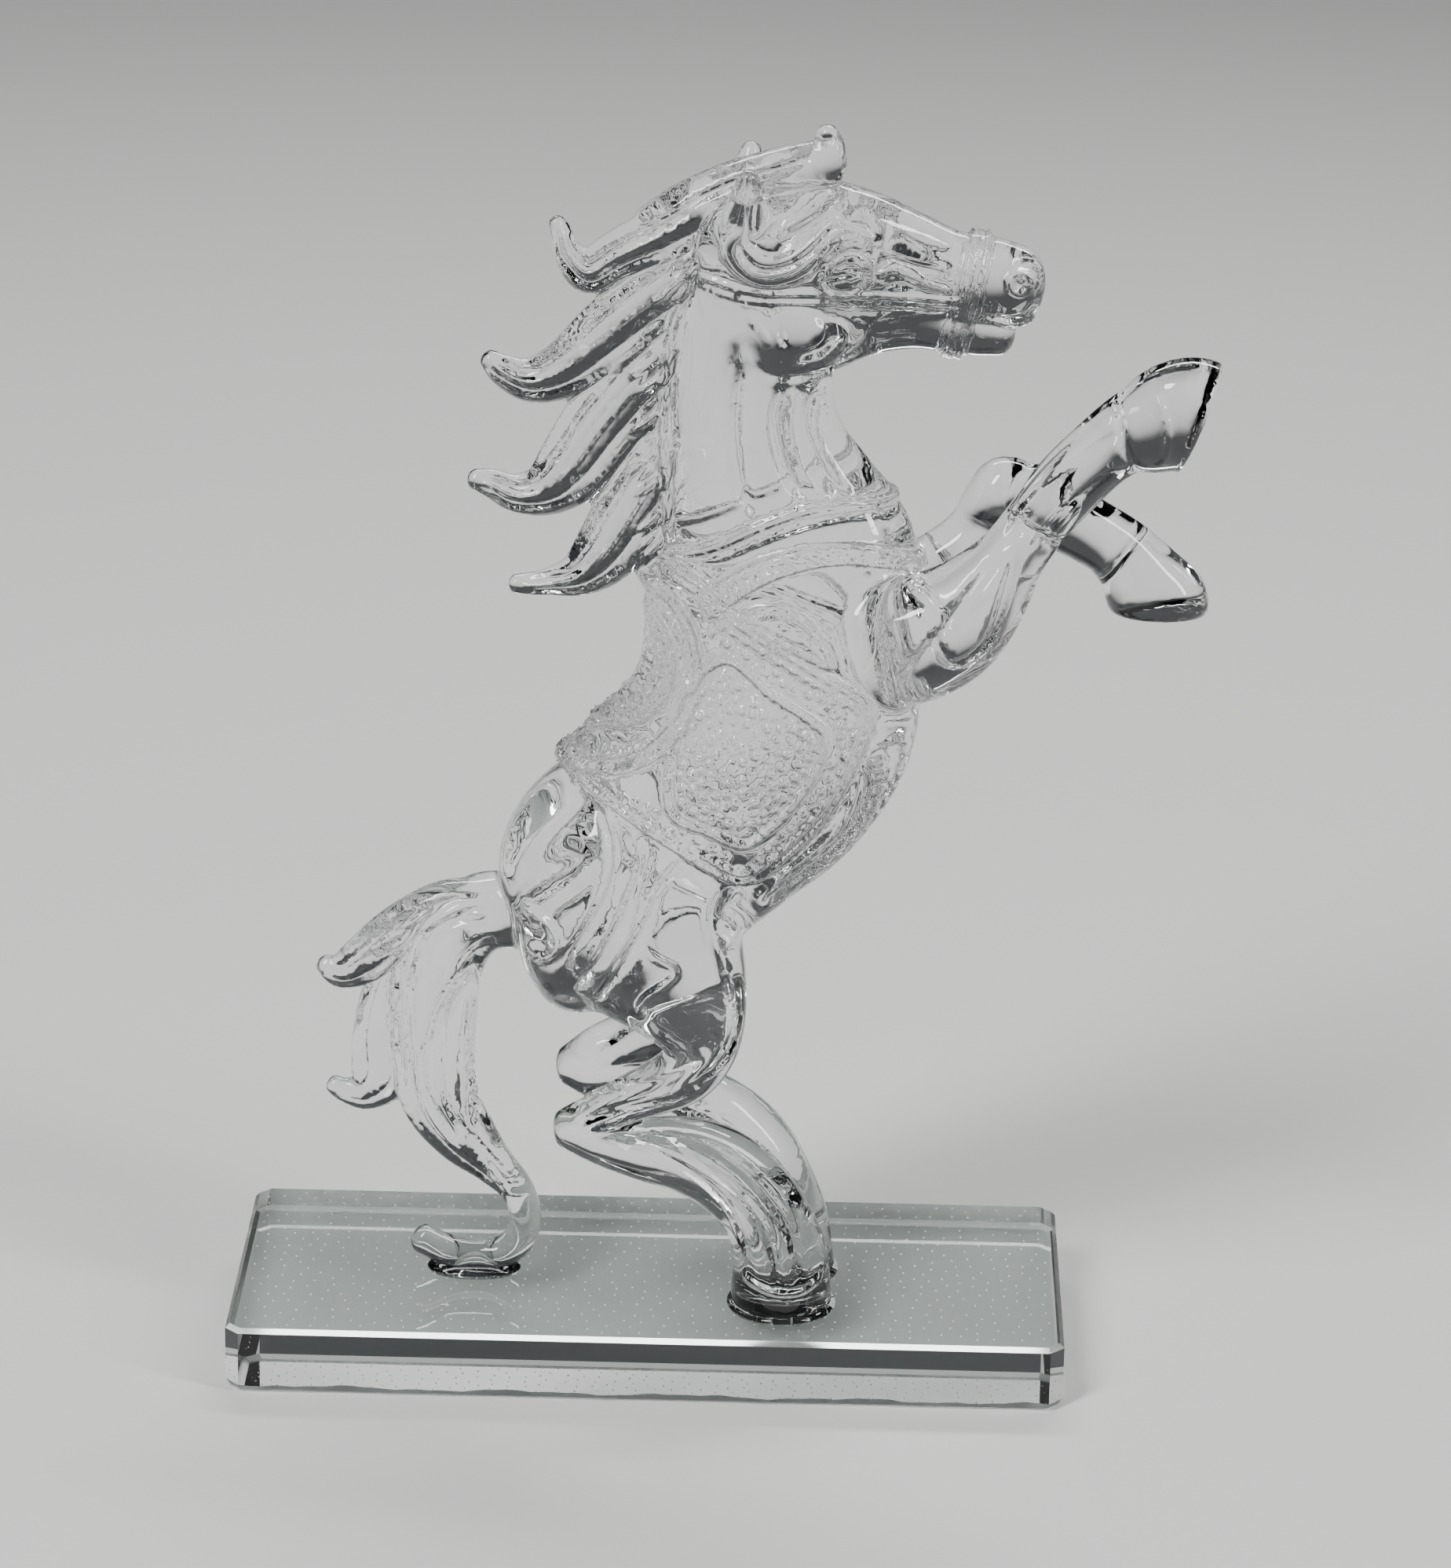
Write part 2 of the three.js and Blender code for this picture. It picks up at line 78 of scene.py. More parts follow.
LEFT_THIGH = [
    (-9, 5, 97, 15, 12), (-4.6, 7.5, 89, 17.4, 12.5), (0.6, 9.5, 81, 15.8, 12), (4.8, 10, 74, 11.4, 10),
    (7.8, 10, 67.4, 8.2, 8.2), (7.4, 9.6, 61.6, 6.8, 6.8), (2.6, 8.8, 57.8, 5.8, 6), (-3.5, 8.2, 56, 5, 5.4),
    (-9.5, 7.6, 53.8, 4.4, 4.6), (-14.8, 7.2, 51.2, 3.2, 3.6),
]
RIGHT_CANNON = [
    (-14.6, -9.6, 44.6, 2.9, 3.4), (-8.4, -9.8, 42.8, 4, 4.6), (-1, -10, 41.8, 5.6, 5.8),
    (6, -10, 41, 6.8, 6.8), (12.4, -10, 38.6, 7.5, 7.4), (17.8, -10, 34, 7.6, 7.8),
    (21.7, -10, 28.4, 7.8, 8.2), (23.8, -10, 21.5, 8.6, 8.8), (24.2, -10, 13, 9.1, 9.2),
]
LEFT_CANNON = [
    (-14.6, 7.2, 50, 3.3, 3.6), (-8.4, 7.2, 48, 4.6, 4.6), (0, 7, 46.6, 5.6, 5.6), (8, 6.6, 44.2, 6.6, 6.4),
    (14, 6, 40.8, 7, 7), (18.6, 5.8, 36.2, 7.2, 7.2), (21.8, 5.4, 30, 7.5, 7.6), (24.2, 5, 22, 8.2, 8.2),
    (25.2, 5, 13, 8.5, 8.6),
]
TAIL_FOOT = (-32, 2, 13.25, 7.8, 4.4)
RIGHT_FORELEG = [
    (36, -6, 137.5, 12.5, 9), (44, -9, 138.6, 11.4, 9.5), (50.8, -10.5, 142.4, 10.4, 8.8),
    (56.4, -11, 148.2, 8.2, 7.8), (60.9, -10.8, 154.6, 6, 6.5), (65.4, -10.4, 161.2, 5.6, 5.9),
    (70.4, -10, 167.8, 6.1, 5.6), (76, -10, 173.7, 6.2, 5.6), (80.4, -10, 177, 7, 6.2),
    (84.4, -10, 178.6, 8.4, 7), (87.8, -10, 180.1, 9.6, 7.6), (90.8, -10, 180.6, 10.1, 7.8),
    (92.4, -10, 180.1, 10.2, 7.6),
]
LEFT_FORELEG = [
    (36, 5, 138, 12.5, 9), (43.5, 7, 142, 8.6, 8.4), (49.8, 8.6, 147.6, 5.8, 6.6),
    (54.6, 9.2, 153, 4.7, 5.6), (57.6, 9.4, 158.8, 4.6, 5.4), (60.2, 9.4, 161.6, 4.9, 5.3),
    (66, 9.2, 159, 5.9, 5.3), (71, 9, 155.9, 6.1, 5.2), (76, 9, 153.2, 5.9, 5.2), (80.6, 9, 150.2, 6.1, 5.6),
    (83.6, 9, 147, 6.8, 6.3), (85.9, 9, 143.6, 7.9, 7.2), (87.9, 9, 140.8, 8.7, 7.4), (88, 9, 139.2, 8.2, 7),
]
SKULL = [
    (11, 0, 206, 10, 8), (17, 0, 205, 13, 9.8), (25, 0, 204.5, 13.8, 10.2), (33, 0, 203.7, 12.8, 9),
    (41, 0, 202.3, 10.8, 7.2), (49, 0, 200.8, 8.8, 6.2), (56, 0, 200.6, 8, 6.2), (61, 0, 200.1, 6.9, 5.8),
]
LOWER_JAW = [
    (19, 0, 195.5, 10.5, 7.5), (27, 0, 193.2, 9.4, 7), (35.5, 0, 193.2, 5.9, 5.4), (44, 0, 193.6, 4.9, 4.8),
    (52, 0, 192.2, 4.5, 4.6), (58, 0, 191.3, 3.5, 4),
]
CHEEK = [
    (16.5, 6, 194, 4, 3), (20, 7, 191.5, 7.5, 3.6), (25.5, 6.8, 191, 7.2, 3.4), (29.5, 5.8, 192.5, 3.6, 2.8),
]
EYE = [(27.6, 8.4, 202.6, 1.6, 1.4), (31.4, 8.8, 203.8, 2.7, 2), (35, 7.6, 205, 1.5, 1.4)]
NOSTRIL = [(59.6, 4.4, 202, 2.2, 1.8), (62.8, 4, 202.2, 2.4, 1.8)]
EAR = [
    (13.6, 4.5, 207.5, 5, 4), (14, 7.6, 213.5, 3.7, 3), (14.4, 9.4, 218, 2.6, 2.4),
    (14.7, 10.2, 220.6, 1.7, 1.7),
]
JOWL_LOCK = [
    (12.4, 7.6, 212, 2.2, 2), (13.2, 8.6, 207, 2.8, 2.2), (17.2, 9.6, 204.4, 3, 2.2),
    (22, 9.8, 205, 2.8, 2.2), (25.8, 9.2, 208, 2.6, 2), (29.4, 7.6, 212, 1.8, 1.8),
]
FORELOCK = [
    (-2, 0, 209.8, 3.2, 3.6), (4, 0, 212.6, 4.4, 4.6), (12, 0, 216, 4.8, 5), (20, 0, 218.6, 4.8, 4.6),
    (26.4, 0, 220.4, 4.6, 3.6), (28, 0, 223.6, 2.9, 2.6), (27.6, 0, 226.1, 1.9, 1.9),
]
MANE_LOCKS = [
    [(7, 0, 212, 5.6, 5), (0, 0, 208, 5, 4.8), (-7.4, 0, 204.2, 4.2, 4.2), (-12.6, 0, 201, 3.9, 3.4),
     (-16.4, 0, 204.4, 2.4, 2.6), (-17.3, 0, 207.6, 1.9, 1.9), (-18.2, 0, 209.5, 1.4, 1.4)],
    [(6, 0, 202, 7, 5.5), (-1, 0, 196.5, 6.8, 5.2), (-8.5, 0, 190.2, 6.4, 4.6), (-16, 0, 183.8, 5.2, 4),
     (-22.2, 0, 181.4, 4, 3.2), (-27, 0, 182.9, 2.9, 2.5), (-29.6, 0, 184.9, 1.8, 1.8)],
    [(5, 0, 190, 8, 5.5), (-2, 0, 183, 8, 5.2), (-9, 0, 174.5, 7.6, 4.6), (-15, 0, 166, 6.6, 4.2),
     (-19.6, 0, 161.8, 4.8, 3.6), (-24.8, 0, 160.9, 3.4, 3), (-29, 0, 162.6, 2.6, 2.4),
     (-32, 0, 163.3, 1.8, 1.8)],
    [(5, 0, 174, 7, 5.5), (0, 0, 166, 7, 5.2), (-4.6, 0, 158, 6.8, 4.8), (-9.4, 0, 150.4, 5.8, 4.2),
     (-13.8, 0, 146.4, 4, 3.4), (-19, 0, 145, 2.4, 2.4), (-22.6, 0, 144.5, 1.9, 2),
     (-24.8, 0, 144.4, 1.7, 1.7)],
]
MANE_ROOT = [
    (0.6, 0, 144.5, 3, 3), (-1.6, 0, 151.5, 4, 3.4), (-1.6, 0, 160, 4.4, 3.6), (-1, 0, 172, 4.4, 3.6),
    (0.4, 0, 184, 4.4, 3.6), (3.4, 0, 196, 4.4, 3.6), (6.6, 0, 206, 4, 3.4),
]
TAIL = [
    (-18, 1, 82.4, 8, 8), (-25, 1, 83, 7, 7.4), (-31.2, 1, 82, 7.2, 7.4), (-36.9, 1, 77, 8.2, 7.4),
    (-39.6, 1, 67.5, 8.1, 7.2), (-39.8, 1, 57.5, 7.8, 6.8), (-38.4, 1, 47, 7.2, 6), (-34, 1, 39.4, 5.9, 4.8),
    (-28.6, 1.2, 33.4, 3.9, 3.6), (-24.3, 1.5, 28.4, 3.1, 3.1), (-22.7, 1.8, 22.6, 2.9, 3),
    (-24.8, 2, 17, 3, 3), (-30.2, 2, 14.6, 3, 3), (-36, 2, 15.3, 2.9, 3), (-41.2, 2, 17.8, 2.8, 2.8),
]
TAIL_PLUMES = [
    [(-29, -1, 85, 4.4, 4.4), (-37, -1.6, 84.2, 4.8, 4.6), (-44.6, -1.6, 79.6, 5, 4.5),
     (-51, -1.2, 74, 4.6, 4), (-55.6, -1, 71.2, 3.2, 3), (-58.7, -1, 72.3, 1.8, 1.8)],
    [(-42, 3, 76, 5, 4.6), (-47, 3, 67, 5, 4.4), (-49, 2.8, 58.4, 5, 4), (-48.8, 2.4, 50.4, 5.6, 3.2),
     (-51.6, 2, 46.8, 3.7, 2.6), (-55.2, 2, 46.8, 2.3, 2.2), (-57.4, 2, 47.8, 1.8, 1.7)],
    [(-33.6, -4, 71, 3, 3), (-36, -5, 61, 4.6, 3.6), (-36, -4.4, 51, 4.6, 3.4), (-33.6, -2, 42, 2.8, 2.6)],
]

# Trappings: outlines and centre lines seen from the side, the same on both flanks.
SADDLE_CLOTH = [
    (-22, 116), (-14.5, 112), (-8, 108.8), (4, 102), (12, 97), (16, 95.6), (20.5, 97.2), (28.8, 105.6),
    (34, 114.4), (38, 125.4), (36.4, 129.8), (24, 138), (14, 143.5), (8, 149), (-8, 150),
]
CLOTH_PANEL = [
    (2, 110), (10, 105.4), (15, 103.2), (18, 103.8), (23, 108.4), (28, 115.6), (30.4, 123), (28.6, 126.6),
    (21, 131.6), (12, 137.2), (4, 128),
]
BORDER_BANDS = [
    [(-9, 110.8), (2, 104.9), (12.6, 99), (14.4, 101), (8.6, 104), (0.6, 108.4), (-6, 111.6)],
    [(17, 98.6), (20, 99.8), (27.4, 107.2), (32, 115.2), (35.4, 125), (32.4, 126), (30.4, 115.6),
     (25, 107.4), (18.6, 101.4)],
    [(32, 127.4), (34.4, 128.6), (23.6, 135.8), (14, 141), (10.4, 143.6), (9.6, 140.6), (21.4, 133.6)],
]
SADDLE_SKIRT = [
    (-24, 114.2), (-15, 113.4), (-9, 113.4), (-3.6, 115), (2, 118.8), (6.4, 125), (8.2, 131.5), (7.6, 138),
    (5, 143.6), (0, 146.6), (-10, 146.6),
]
SADDLE_SEAT = [
    (-16, 119.4), (-8, 120.6), (-3.4, 122.4), (0.4, 125.4), (3, 130), (3.6, 134.6), (2.4, 139), (-1, 142.4),
    (-12, 142.4),
]
SHOULDER_LOOP = [(14, 142.8), (18, 145.6), (23.4, 145.6), (28, 142.2), (30.8, 135.4), (25, 137.6), (18, 141)]

# Straps: a centre line on the side view, then the width at its two ends.
BREAST_COLLAR = ([(8, 144.6), (16, 150.6), (24, 154), (32, 154.9), (40, 153.4), (52, 149)], 4.4, 2.6)
COLLAR_FIELD = (BREAST_COLLAR[0], 2.4, 0.9)
NECK_CORD = ([(-3, 150), (8.4, 154.6), (19, 160.2), (29, 163), (44, 162.6)], 1.4, 1.4)
HIP_STRAP = ([(1.5, 102), (-3.4, 91.2), (-8.9, 80.3), (-11.4, 74)], 6.6, 3.6)
CHEEK_STRAP = ([(5, 201.8), (16, 199.7), (28, 199.7), (52, 198)], 2, 2)
NOSEBAND = ([(55.4, 214), (52.7, 201), (49, 185)], 3.6, 3.6)

# Beads on the cloth: the smallest distance between them, the radius of the largest, and the seed.
PANEL_BEADS = (1.75, 0.95, 3)
BORDER_BEADS = (1.8, 0.9, 5)
COLLAR_BEADS = (1.7, 0.75, 7)
PANEL_MARGIN = 1.6

# Short ribs: how many, their half length, half width, height and lean, and the line that they cross.
SADDLE_RIBS = [
    (10, 1.5, 0.42, 0.8, 0.25, [(-9, 122.6), (-5, 124), (-2, 126.6), (0.6, 131), (1.2, 135), (0, 139)]),
    (4, 1.6, 0.4, 0.6, 0.3, [(-9, 116.6), (-4.6, 117.6)]),
    (4, 1.5, 0.42, 0.7, 0.3, [(2.6, 123), (5, 127)]),
]
BELLY_RIBS = [(9, 1.5, 0.8, 0.4, 0.0, [(38.8, 119), (38.8, 110.4), (35, 102), (27, 94.4)])]
# Rosettes on the saddle's band: centre, radius and half width of the ring, and radius of the bead in it.
ROSETTES = [
    ((-12.6, 116.6), 1.3, 0.4, 0.7), ((-1.8, 119.4), 1.5, 0.4, 0.8),
    ((5.6, 131.5), 1.3, 0.38, 0.7), ((4.6, 140.6), 1.7, 0.4, 0.9),
]

# Carved folds: half width, height or depth, and the points of the line seen from the side.
BODY_FOLDS = [
    (1.1, -1.5, [(13.8, 188), (13, 177.1), (14.2, 167), (16, 161.4)]),
    (1.1, -1.6, [(20.7, 185), (20, 177.1), (21.7, 169.9), (24.8, 164)]),
    (1.0, -1.3, [(26.3, 183), (25.3, 176.7), (28, 169.5), (32, 164)]),
    (0.7, 0.6, [(23.4, 184), (22.8, 177), (24.8, 170), (28.6, 164)]),
    (1.0, -0.9, [(-9.2, 108.2), (-7, 102.8), (-7.2, 96.3), (-10.1, 89.3), (-16.4, 77.9)]),
    (0.8, -0.8, [(-4.2, 104.4), (-2, 99.4), (-3.9, 92.8), (-8, 84), (-14, 74)]),
    (0.8, -0.8, [(5.5, 100.2), (0.8, 94), (-1.8, 87.1), (-9.4, 73.2)]),
    (0.7, 0.7, [(0.1, 103.1), (-2.2, 95.3), (-3.4, 88.1), (-8.4, 79)]),
    (0.9, 0.8, [(-23, 88.4), (-18.6, 87), (-16.6, 83.6), (-18.6, 80.4), (-21.4, 80.8)]),
    (0.8, 0.9, [(-1.4, 86.6), (0.3, 83.7), (4.5, 80.4), (-1, 74.9), (-1.7, 70.4)]),
    (1.1, -0.9, [(14.6, 79), (14.6, 74), (15, 67.9), (12.6, 62.2), (6.1, 56)]),
    (1.0, -0.9, [(13.1, 95.5), (10.4, 88.6), (12.4, 82), (14.2, 76.4)]),
    (0.8, 0.7, [(15.4, 93.6), (12.6, 90.4), (15.2, 86.1), (12, 83)]),
    (1.2, -0.9, [(37, 117), (36.6, 110), (33, 102), (24.8, 94.6), (19.6, 89.4)]),
    (0.9, -0.8, [(33, 146), (38, 141), (43.4, 135.6), (45, 130)]),
    (0.9, -0.8, [(-15, 49.6), (-8, 53.4), (1.8, 57.4), (9.4, 63.5)]),
    (0.7, -0.7, [(-13.5, 47.6), (-5.1, 51.1), (4.7, 54.2)]),
]
LIMB_FOLDS = [
    (1.0, -0.9, [(43.4, 134.6), (49.5, 143.9), (54.6, 151.1), (59, 157)]),
    (0.9, -1.0, [(47.1, 143.5), (51.6, 137.5), (57.2, 141.9), (60, 150.9), (61.6, 158)]),
    (0.8, 0.9, [(43, 151), (48.5, 147.6), (50, 140.8)]),
    (1.0, -1.0, [(59.2, 158.4), (66.3, 168), (74.4, 175.6), (79.9, 179.7)]),
    (0.8, -0.7, [(63.6, 157.6), (70, 165.2), (76.4, 170.8), (81, 172.6)]),
    (0.9, -0.9, [(78.2, 185), (79, 179), (81.4, 171.6)]),
    (0.8, 0.7, [(84, 187), (86.6, 180.6), (86.2, 172.6)]),
    (0.8, -0.9, [(60, 163.6), (66, 160.4), (72, 157.2), (78, 153.6)]),
    (0.8, -0.9, [(85, 152.4), (81.6, 148.4), (79.4, 143.6)]),
    (1.0, -0.9, [(-14.9, 45.4), (-2.2, 44.4), (9.1, 39.5), (16.3, 31.3), (18.8, 21)]),
    (1.1, -0.8, [(-2.4, 46.2), (9.6, 44.8), (18.8, 38.8), (25.6, 29.4), (28, 19)]),
    (0.8, -0.8, [(-7.9, 46), (4.8, 44.4), (16, 36.8), (22, 28), (24.2, 18)]),
    (0.7, 0.7, [(17, 20.5), (22, 18.6), (27.6, 18.4), (32, 20.4)]),
]
HEAD_FOLDS = [
    (0.8, -1.0, [(15.6, 218), (15, 213.6), (15, 208)]),
    (0.6, -0.7, [(13.2, 209.4), (14.6, 206.4), (17.6, 204.9), (22.3, 206), (26.4, 209), (30, 213)]),
    (0.7, -0.8, [(19.4, 208.8), (23.6, 211.2), (27.8, 213.7), (31.4, 216.4)]),
    (0.6, 0.6, [(20.6, 211.6), (24.6, 213.8), (28.4, 216.6)]),
    (1.0, -0.9, [(9.4, 197.7), (12.1, 190.1), (19.2, 185.8), (27.6, 186.6), (34, 190.1), (36.4, 195.4)]),
    (0.8, 0.7, [(13.6, 196.4), (16.9, 194.4), (18.6, 191.2)]),
    (0.6, -0.7, [(16, 197), (19.8, 195), (21.4, 191.2)]),
    (0.8, 0.6, [(24, 188.6), (27.6, 189.4), (30.4, 192)]),
    (0.7, -0.6, [(38, 206.8), (43, 205), (48.6, 203.8)]),
    (0.6, -0.7, [(60, 204.8), (62.8, 204.6), (64.4, 202.4), (63.4, 199.8)]),
]
# These lines keep their height nearly to their ends.
EYE_LINES = [
    (0.6, 0.8, [(36.5, 203.6), (39, 204.6), (42, 203.6), (45.5, 201.8), (49.6, 200.6)]),
    (0.5, -0.5, [(37.6, 201.6), (41, 202), (45, 200.2)]),
    (0.5, 0.8, [(26.8, 202.6), (28.6, 200.8), (31.6, 200.3), (34.4, 201.6), (36, 204.2)]),
    (0.5, 0.8, [(26.8, 202.6), (28.4, 205.2), (31.2, 207), (34, 206.8), (36, 204.2)]),
    (0.36, -0.55, [(27.4, 202.8), (30, 203.8), (33, 204.4), (35.6, 204.4)]),
]
MOUTH_LINES = [
    (0.5, -0.7, [(55, 196.2), (58.4, 195.6), (61.6, 196.2), (64.4, 198.6)]),
    (0.5, 0.5, [(57, 195), (60, 193.8), (63, 194.4), (65.4, 196.4)]),
]
HAIR_FOLDS = [
    (0.7, -0.8, [(4, 214), (12, 218), (20, 220.6), (26, 222.6)]),
    (0.6, -0.7, [(8, 211.4), (16, 214.6), (24, 217)]),
    (0.8, -0.9, [(-33.9, 87.6), (-40.6, 82.6), (-44.2, 74), (-45.4, 62.7), (-44.2, 50)]),
    (0.9, -1.0, [(-31.6, 75.4), (-38.5, 66.2), (-40.4, 51.4), (-34.4, 38.6)]),
    (0.8, -0.9, [(-32.2, 71.2), (-32.6, 56.4), (-31, 42)]),
    (0.5, 0.6, [(-29.6, 35.4), (-27, 32), (-23.4, 31.4)]),
    (0.5, 0.6, [(-27.8, 32.4), (-25.4, 29.2), (-21.8, 28.8)]),
]
CREST = [(7.5, 209.3), (6, 204.7), (2.7, 195.8), (0.7, 184.2), (0.6, 172.2), (1.2, 160.2), (2.3, 151.5)]
FOLD_TAPER = 0.2
LINE_TAPER = 0.12
NOSTRIL_CENTRE = (61.2, 202)
FORELOCK_DIMPLE = (27.8, 225.2)

# Relief maps: the corners of the side view that they cover, and how strokes and beads round off.
MAP_LOW = (-62.0, 12.0)
MAP_HIGH = (98.0, 230.0)
LAST_CELL = 1.001
RIDGE_SHARPNESS = 1.4
RIDGE_REACH = 2.5
RIB_STEPS = np.array([0.0, 0.3, -0.3])
BEAD_REACH = 1.25
MOAT_DEPTH = 0.22
MOAT_PLACE = 1.08
MOAT_WIDTH = 0.14
BEAD_HEIGHT = 0.6

# Form: how round the ends are, the room around a piece in which it counts, the fillets at the soles, how far
# sideways a face looks where its carving is whole, and half the width over which that fades at the middle.
ROUND_END = 0.8
MARGIN = 5.5
SOLE_ROUNDING = 0.4
SOLE_EDGE = 0.25
CARVING_FACING = 0.45
MIDDLE_FADE = 0.5
FAR = 1e3
TINY = 1e-12

# Mesh: the room that its first grid fills, and how it is fitted to the form and split where it needs more.
GRID_LOW = (-64.0, -24.0)
GRID_HIGH = (100.0, 24.0, 231.0)
STEPS_BELOW = 2.5
DIAGONAL_ROUNDS = 8
DIAGONAL_FILL = 0.05
FOLD = 0.25
CALM_ROUNDS = 4
LONGEST_MOVE = 0.45
FITTING_ROUNDS = 2
SMOOTHING = 0.5
FINE_SMOOTHING = 0.25
SPLIT_ROUNDS = 3
TRIANGLES_PER_SPLIT = 4
TRIANGLE_LIMIT = 200000

# Scattered balls, the adhesive's beads and the slab: shares, counts, and parts to each side of the outline.
SMALLEST_BALL = 0.72
BALLS_TRIED = 40
BALL_CORNERS = 12
BEAD_SIDES = 72
BEAD_ROWS = 8
ADHESIVE_INDEX = 1.48
SLAB_SPANS = (1, 12, 1, 72, 1, 12, 1, 72)
LOWER_CHAMFER = 1.5
LINT_MARGIN = 3
LINT_SEED = 11
GROUND_ROUGHNESS = 0.32
MATT = 0.9

# Stage: each light's name, place, width and height in metres and power in watts, then plain values.
LIGHTS = (
    ("key", (-0.6, -0.75, 1.15), (0.26, 0.8), 24.0),
    ("fill", (0.95, -0.5, 0.8), (0.14, 0.9), 11.0),
    ("back", (0.1, 0.7, 0.95), (1.0, 0.12), 10.0),
)
LIT_POINT = (0.01, 0.0, 0.1)
WORLD_STRENGTH = 0.16
SENSOR_HEIGHT = 36.0
CLIP = (0.05, 20.0)


def unit(rows):
    """Directions scaled to length one."""
    return rows / np.maximum(np.linalg.norm(rows, axis=-1, keepdims=True), TINY)


def catmull(points, steps):
    """The points of a Catmull-Rom curve through the given rows, steps to a span."""
    rows = np.asarray(points, float)
    padded = np.vstack([2 * rows[0] - rows[1], rows, 2 * rows[-1] - rows[-2]])
    share = np.linspace(0, 1, steps, endpoint=False)[:, None]
    spans = []
    for i in range(len(rows) - 1):
        a, b, c, d = padded[i:i + 4]
        bend = share * (3 * (b - c) + d - a)
        spans.append(b + 0.5 * share * (c - a + share * (2 * a - 5 * b + 4 * c - d + bend)))
    return np.vstack([*spans, rows[-1:]])


def rounded(outline, steps=6):
    """A closed outline with its corners drawn as smooth curves."""
    count = len(outline)
    curve = catmull([outline[i % count] for i in range(-2, count + 3)], steps)
    return curve[2 * steps:(2 + count) * steps]


def across_line(line):
    """The direction across a line at each of its points, to its left."""
    ahead = unit(np.gradient(line, axis=0))
    return np.stack([-ahead[:, 1], ahead[:, 0]], 1)


def strap_outline(line, start_width, end_width):
    """The outline of a strap along a centre line whose width runs from one value to the other."""
    points = catmull(line, 4)
    half = across_line(points) * (np.linspace(start_width, end_width, len(points))[:, None] / 2)
    return np.vstack([points + half, (points - half)[::-1]])


def inset_outline(outline, distance):
    """An outline moved inwards by a distance, for a plain rounded shape drawn anticlockwise."""
    points = np.asarray(outline, float)
    first, second = unit(points - np.roll(points, 1, axis=0)), unit(np.roll(points, -1, axis=0) - points)
    inwards = unit(np.stack([-(first + second)[:, 1], (first + second)[:, 0]], 1))
    cosine = np.maximum((inwards * np.stack([-second[:, 1], second[:, 0]], 1)).sum(1), 0.5)
    return points + inwards * (distance / cosine)[:, None]


def smooth_min(a, b, blend):
    """The smaller of two distances, with a fillet of about the blend's size where they meet."""
    overlap = np.maximum(blend - np.abs(a - b), 0) / blend
    return np.minimum(a, b) - overlap * overlap * blend / 4


def smooth_max(a, b, blend):
    """The larger of two distances, with their common edge rounded by the blend."""
    return -smooth_min(-a, -b, blend)


def ridge(distance, width):
    """The share of its height that a rounded ridge has at a distance from its middle."""
    return np.exp(-(distance / width) ** 2 * RIDGE_SHARPNESS)


